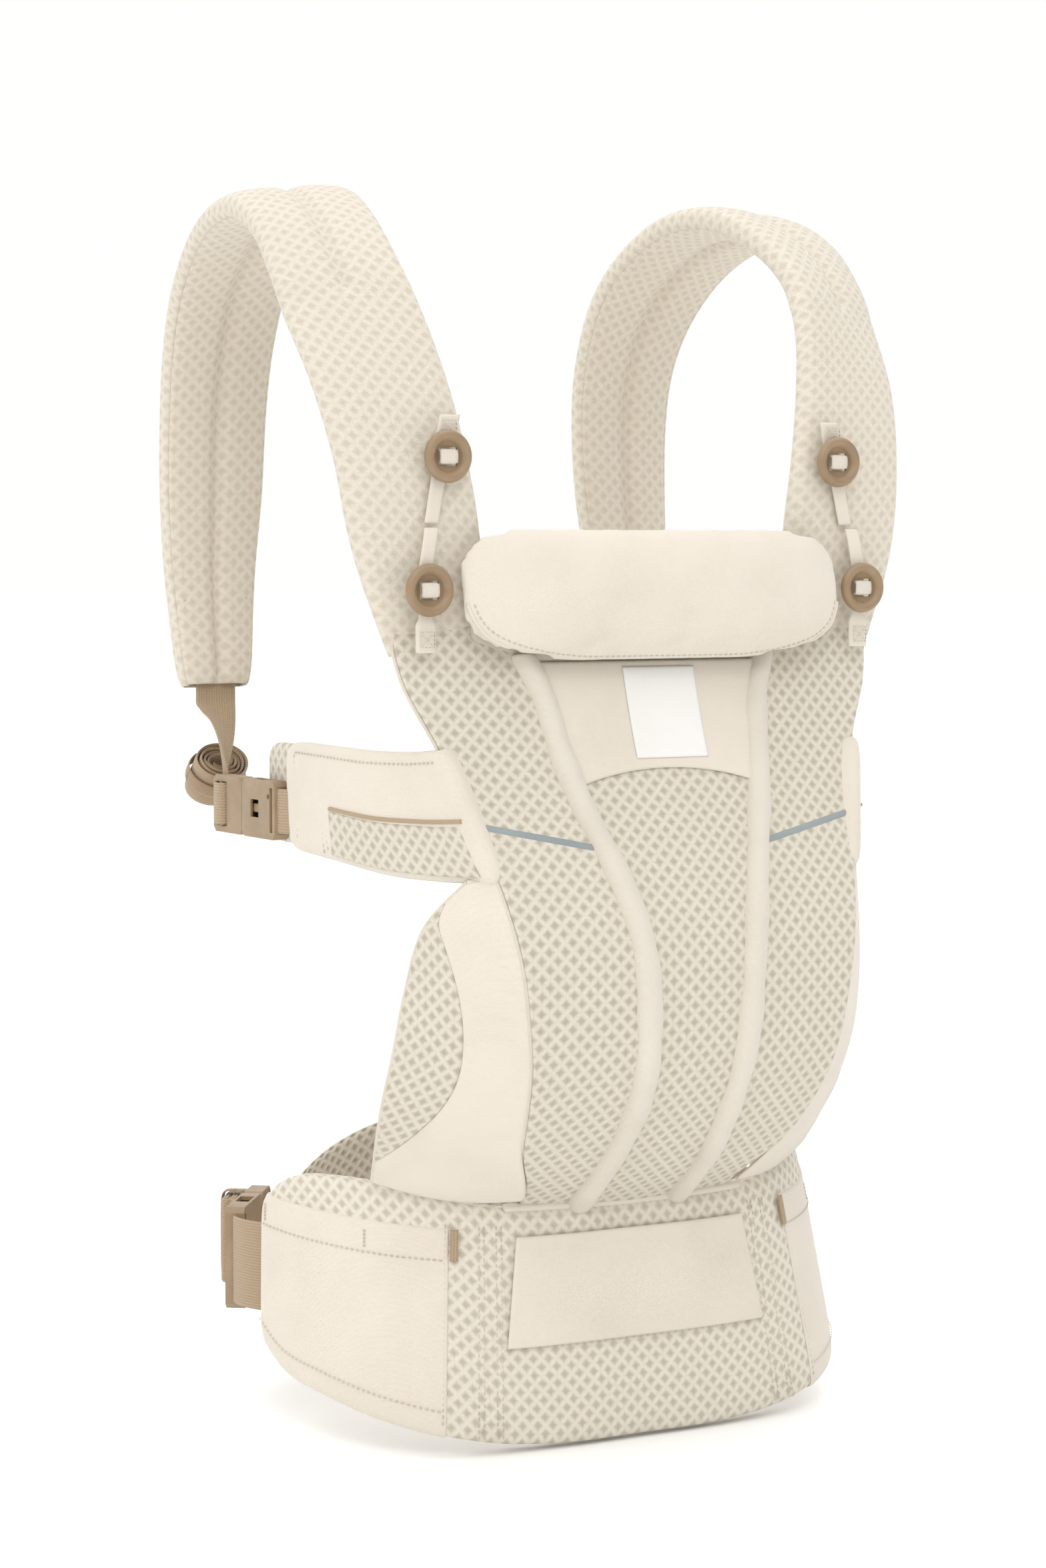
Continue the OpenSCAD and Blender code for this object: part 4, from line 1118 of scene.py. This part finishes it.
for side, tag, mir in SIDES:
    q = np.linspace(0, 1, 60)
    P = np.stack([side * (120 + 11.2 * q), -94.4 + 0.9 * np.sin(q * math.pi), 556 - 57 * q], 1)
    tape_strip("strap_tape_" + tag, P, 12 - 3.6 * step(0.24, 0.3, q), "carrier", once(side, "strap_tapes"))
    P = np.stack([side * (133 + 4 * np.minimum(1, q * 3)), -99 + 1.2 * np.exp(-q * 14), 497 - 66 * q], 1)
    tape_strip("head_tape_" + tag, P, 8.4 + 3.6 * step(0.72, 0.78, q), "head_support",
               once(side, "head_tapes"))
    button("button_top_" + tag, (side * 123.5, -95.5, 534), "strap_button_" + tag, ("button_strap_" + tag,))
    elastic_loop("button_top_loop_" + tag, (side * 123.5, -94.6, 534), "strap_button_" + tag)
    button("button_low_" + tag, (side * 137, -100.2, 464), "head_button_" + tag, ("button_head_" + tag,))
    elastic_loop("button_low_loop_" + tag, (side * 137, -99.3, 464), "head_button_" + tag)
    for zc, xc, y, body in ((549, 121.5, -95.4, "carrier"), (438, 137, -99.9, "head_support")):
        P = polyline([[-4, 4], [4, 4], [4, -4], [-4, -4], [-4, 4], [4, -4], [4, 4], [-4, -4]], 8)
        P = np.column_stack([side * xc + P[:, 0], np.full(len(P), y), zc + P[:, 1]])
        stitches(body, P, FRONT, 2.2, 1.6, 0.32)

# folded spare waist webbing and its keeper, on the outer side of the tongue
c, s = 0.6, 0.8


def by_tongue(x, y, z):
    return np.stack([-142 + c * x - s * y, 110 + s * x + c * y, WAIST_Z + z + 0 * x], -1)


path = []
for k in range(6):
    x0, x1 = (3.5, 34.5) if k % 2 == 0 else (34.5, 3.5)
    x = np.linspace(x0, x1, 24)
    y = 8.0 + 2.2 * k + 0.3 * np.sin(x / 5 + k)
    path.append(np.stack([x, y], 1))
    if k < 5:
        g = np.linspace(-math.pi / 2, math.pi / 2, 7)[1:-1]
        path.append(np.stack([x1 + (1.1 if x1 > 20 else -1.1) * np.cos(g), y[-1] + 1.1 + 1.1 * np.sin(g)], 1))
path = np.concatenate(path)
P = by_tongue(path[:, 0], path[:, 1], 0.0)
done(band("waist_bundle_webbing", P, UP, 49, 1.9, WEBBING), "waist_tongue", "webbing", "waist_bundle")
g = np.linspace(0, 2 * math.pi, 90)
z = 25.5 * np.sign(np.cos(g)) * np.abs(np.cos(g)) ** 0.25
y = 13.4 + 7.6 * np.sign(np.sin(g)) * np.abs(np.sin(g)) ** 0.25
P = by_tongue(19 + 0 * y, y, z)
done(band("waist_keeper", P, np.array([c, s, 0]), 8, 1.1, ELASTIC), "waist_tongue", "webbing")


# hardware: the moulded shapes with softened edges
def moulded(name, body, mat, width=0.0006):
    src = bpy.data.objects[name]
    me = src.data.copy()
    bm = bmesh.new()
    bm.from_mesh(me)
    bmesh.ops.remove_doubles(bm, verts=bm.verts, dist=1e-6)
    bmesh.ops.dissolve_limit(bm, angle_limit=math.radians(1), verts=bm.verts, edges=bm.edges)
    bm.to_mesh(me)
    bm.free()
    me.materials.clear()
    me.materials.append(mat)
    me.polygons.foreach_set("use_smooth", np.full(len(me.polygons), True))
    ob = bpy.data.objects.new(name + "_moulded", me)
    ob.matrix_world = src.matrix_world.copy()
    COL.objects.link(ob)
    mod = ob.modifiers.new("bevel", "BEVEL")
    mod.width, mod.segments, mod.limit_method, mod.angle_limit = width, 3, "ANGLE", math.radians(30)
    mod.harden_normals = True
    bpy.context.view_layer.objects.active = ob
    bpy.ops.object.modifier_apply(modifier=mod.name)
    return done(ob, body, "plastic", name)


for side, tag, mir in SIDES:
    moulded("buckle_female_" + tag, "carrier", PLASTIC)
    moulded("buckle_male_" + tag, "strap_tongue_" + tag, PLASTIC)
    for prong in ("prong_upper_", "prong_lower_"):
        moulded(prong + tag, prong + tag, PLASTIC, 0.0004)
    # webbing turned around the bar of the tongue
    x = np.array([23.4, 24.6, 26.0, 29.0, 32.0, 33.4, 34.6])
    y = np.array([-3.4, 2.6, 5.2, 5.7, 5.2, 2.6, -3.4])
    P = cr(np.stack([156 + y, 82 + x, np.full(7, 340.0)], 1), np.linspace(0, 1, 50)) * mir
    done(band("tongue_webbing_" + tag, P, UP, 24, 1.3, WEBBING), "strap_tongue_" + tag, "webbing")
moulded("waist_buckle_female", "carrier", PLASTIC)
moulded("waist_buckle_male", "waist_tongue", PLASTIC)
moulded("waist_prong_upper", "waist_prong_upper", PLASTIC, 0.0004)
moulded("waist_prong_lower", "waist_prong_lower", PLASTIC, 0.0004)

for body, (V, F) in STITCH.items():
    ob = make_mesh("stitching_" + body, np.concatenate(V), np.concatenate(F)[:, ::-1], SEAM_SHADE_THREAD)
    done(ob, body, "cotton")

# ---------------------------------------------------------------- floor, light, camera
def floor():
    """Wide level square just below the carrier."""
    s, z = 30.0, -0.004
    me = bpy.data.meshes.new("floor")
    me.from_pydata([(-s, -s, z), (s, -s, z), (s, s, z), (-s, s, z)], [], [(0, 1, 2, 3)])
    m, t, b = material("floor", 0.9, 0, 0.2)
    dial(b, Base_Color=(0.975, 0.975, 0.97, 1))
    me.materials.append(m)
    ob = bpy.data.objects.new("floor", me)
    COL.objects.link(ob)
    return ob


def map_range(t, src, **ends):
    n = dial(node(t, "ShaderNodeMapRange", interpolation_type="SMOOTHSTEP"), **ends)
    put(t, src, n, "Value")
    return n


floor()
w = bpy.data.worlds.new("studio")
bpy.context.scene.world = w
w.use_nodes = True
t = w.node_tree
way = node(t, "ShaderNodeTexCoord")
dot = node(t, "ShaderNodeVectorMath", operation="DOT_PRODUCT")
dot.inputs[1].default_value = (0.86, -0.5, -0.1)
t.links.new(way.outputs["Generated"], dot.inputs[0])
shade = map_range(t, dot.outputs["Value"], From_Min=0.1, From_Max=0.95, To_Min=1.0, To_Max=0.5)
split = node(t, "ShaderNodeSeparateXYZ")
t.links.new(way.outputs["Generated"], split.inputs[0])
above = map_range(t, split.outputs[2], From_Min=0.35, From_Max=0.95, To_Min=0.0, To_Max=0.75)
total = math_node(t, "ADD", shade.outputs[0], above.outputs[0])
put(t, total, t.nodes["Background"], "Strength")
dial(t.nodes["Background"], Color=(1, 1, 0.995, 1))


def area(name, at, to, size, power):
    d = bpy.data.lights.new(name, "AREA")
    d.shape, d.size, d.energy = "SQUARE", size, power
    ob = bpy.data.objects.new(name, d)
    ob.location = at
    ob.rotation_euler = (Vector(to) - Vector(at)).to_track_quat("-Z", "Y").to_euler()
    COL.objects.link(ob)


area("key", (-1.2, -2.6, 2.5), (0, 0, 0.35), 1.2, 16)
area("top", (0.2, 0.6, 3.0), (0, 0, 0.3), 2.0, 8)

az, el, dist = math.radians(-29.34), math.radians(3.78), 2.0
target = Vector((-0.0237, 0, 0.353))
cam = bpy.data.cameras.new("camera")
cam.lens, cam.sensor_width = 81.2, 36
ob = bpy.data.objects.new("camera", cam)
away = Vector((math.sin(az) * math.cos(el), -math.cos(az) * math.cos(el), math.sin(el)))
ob.location = target + away * dist
ob.rotation_euler = (target - ob.location).to_track_quat("-Z", "Y").to_euler()
COL.objects.link(ob)
bpy.context.scene.camera = ob
bpy.context.scene.view_settings.view_transform = "Standard"
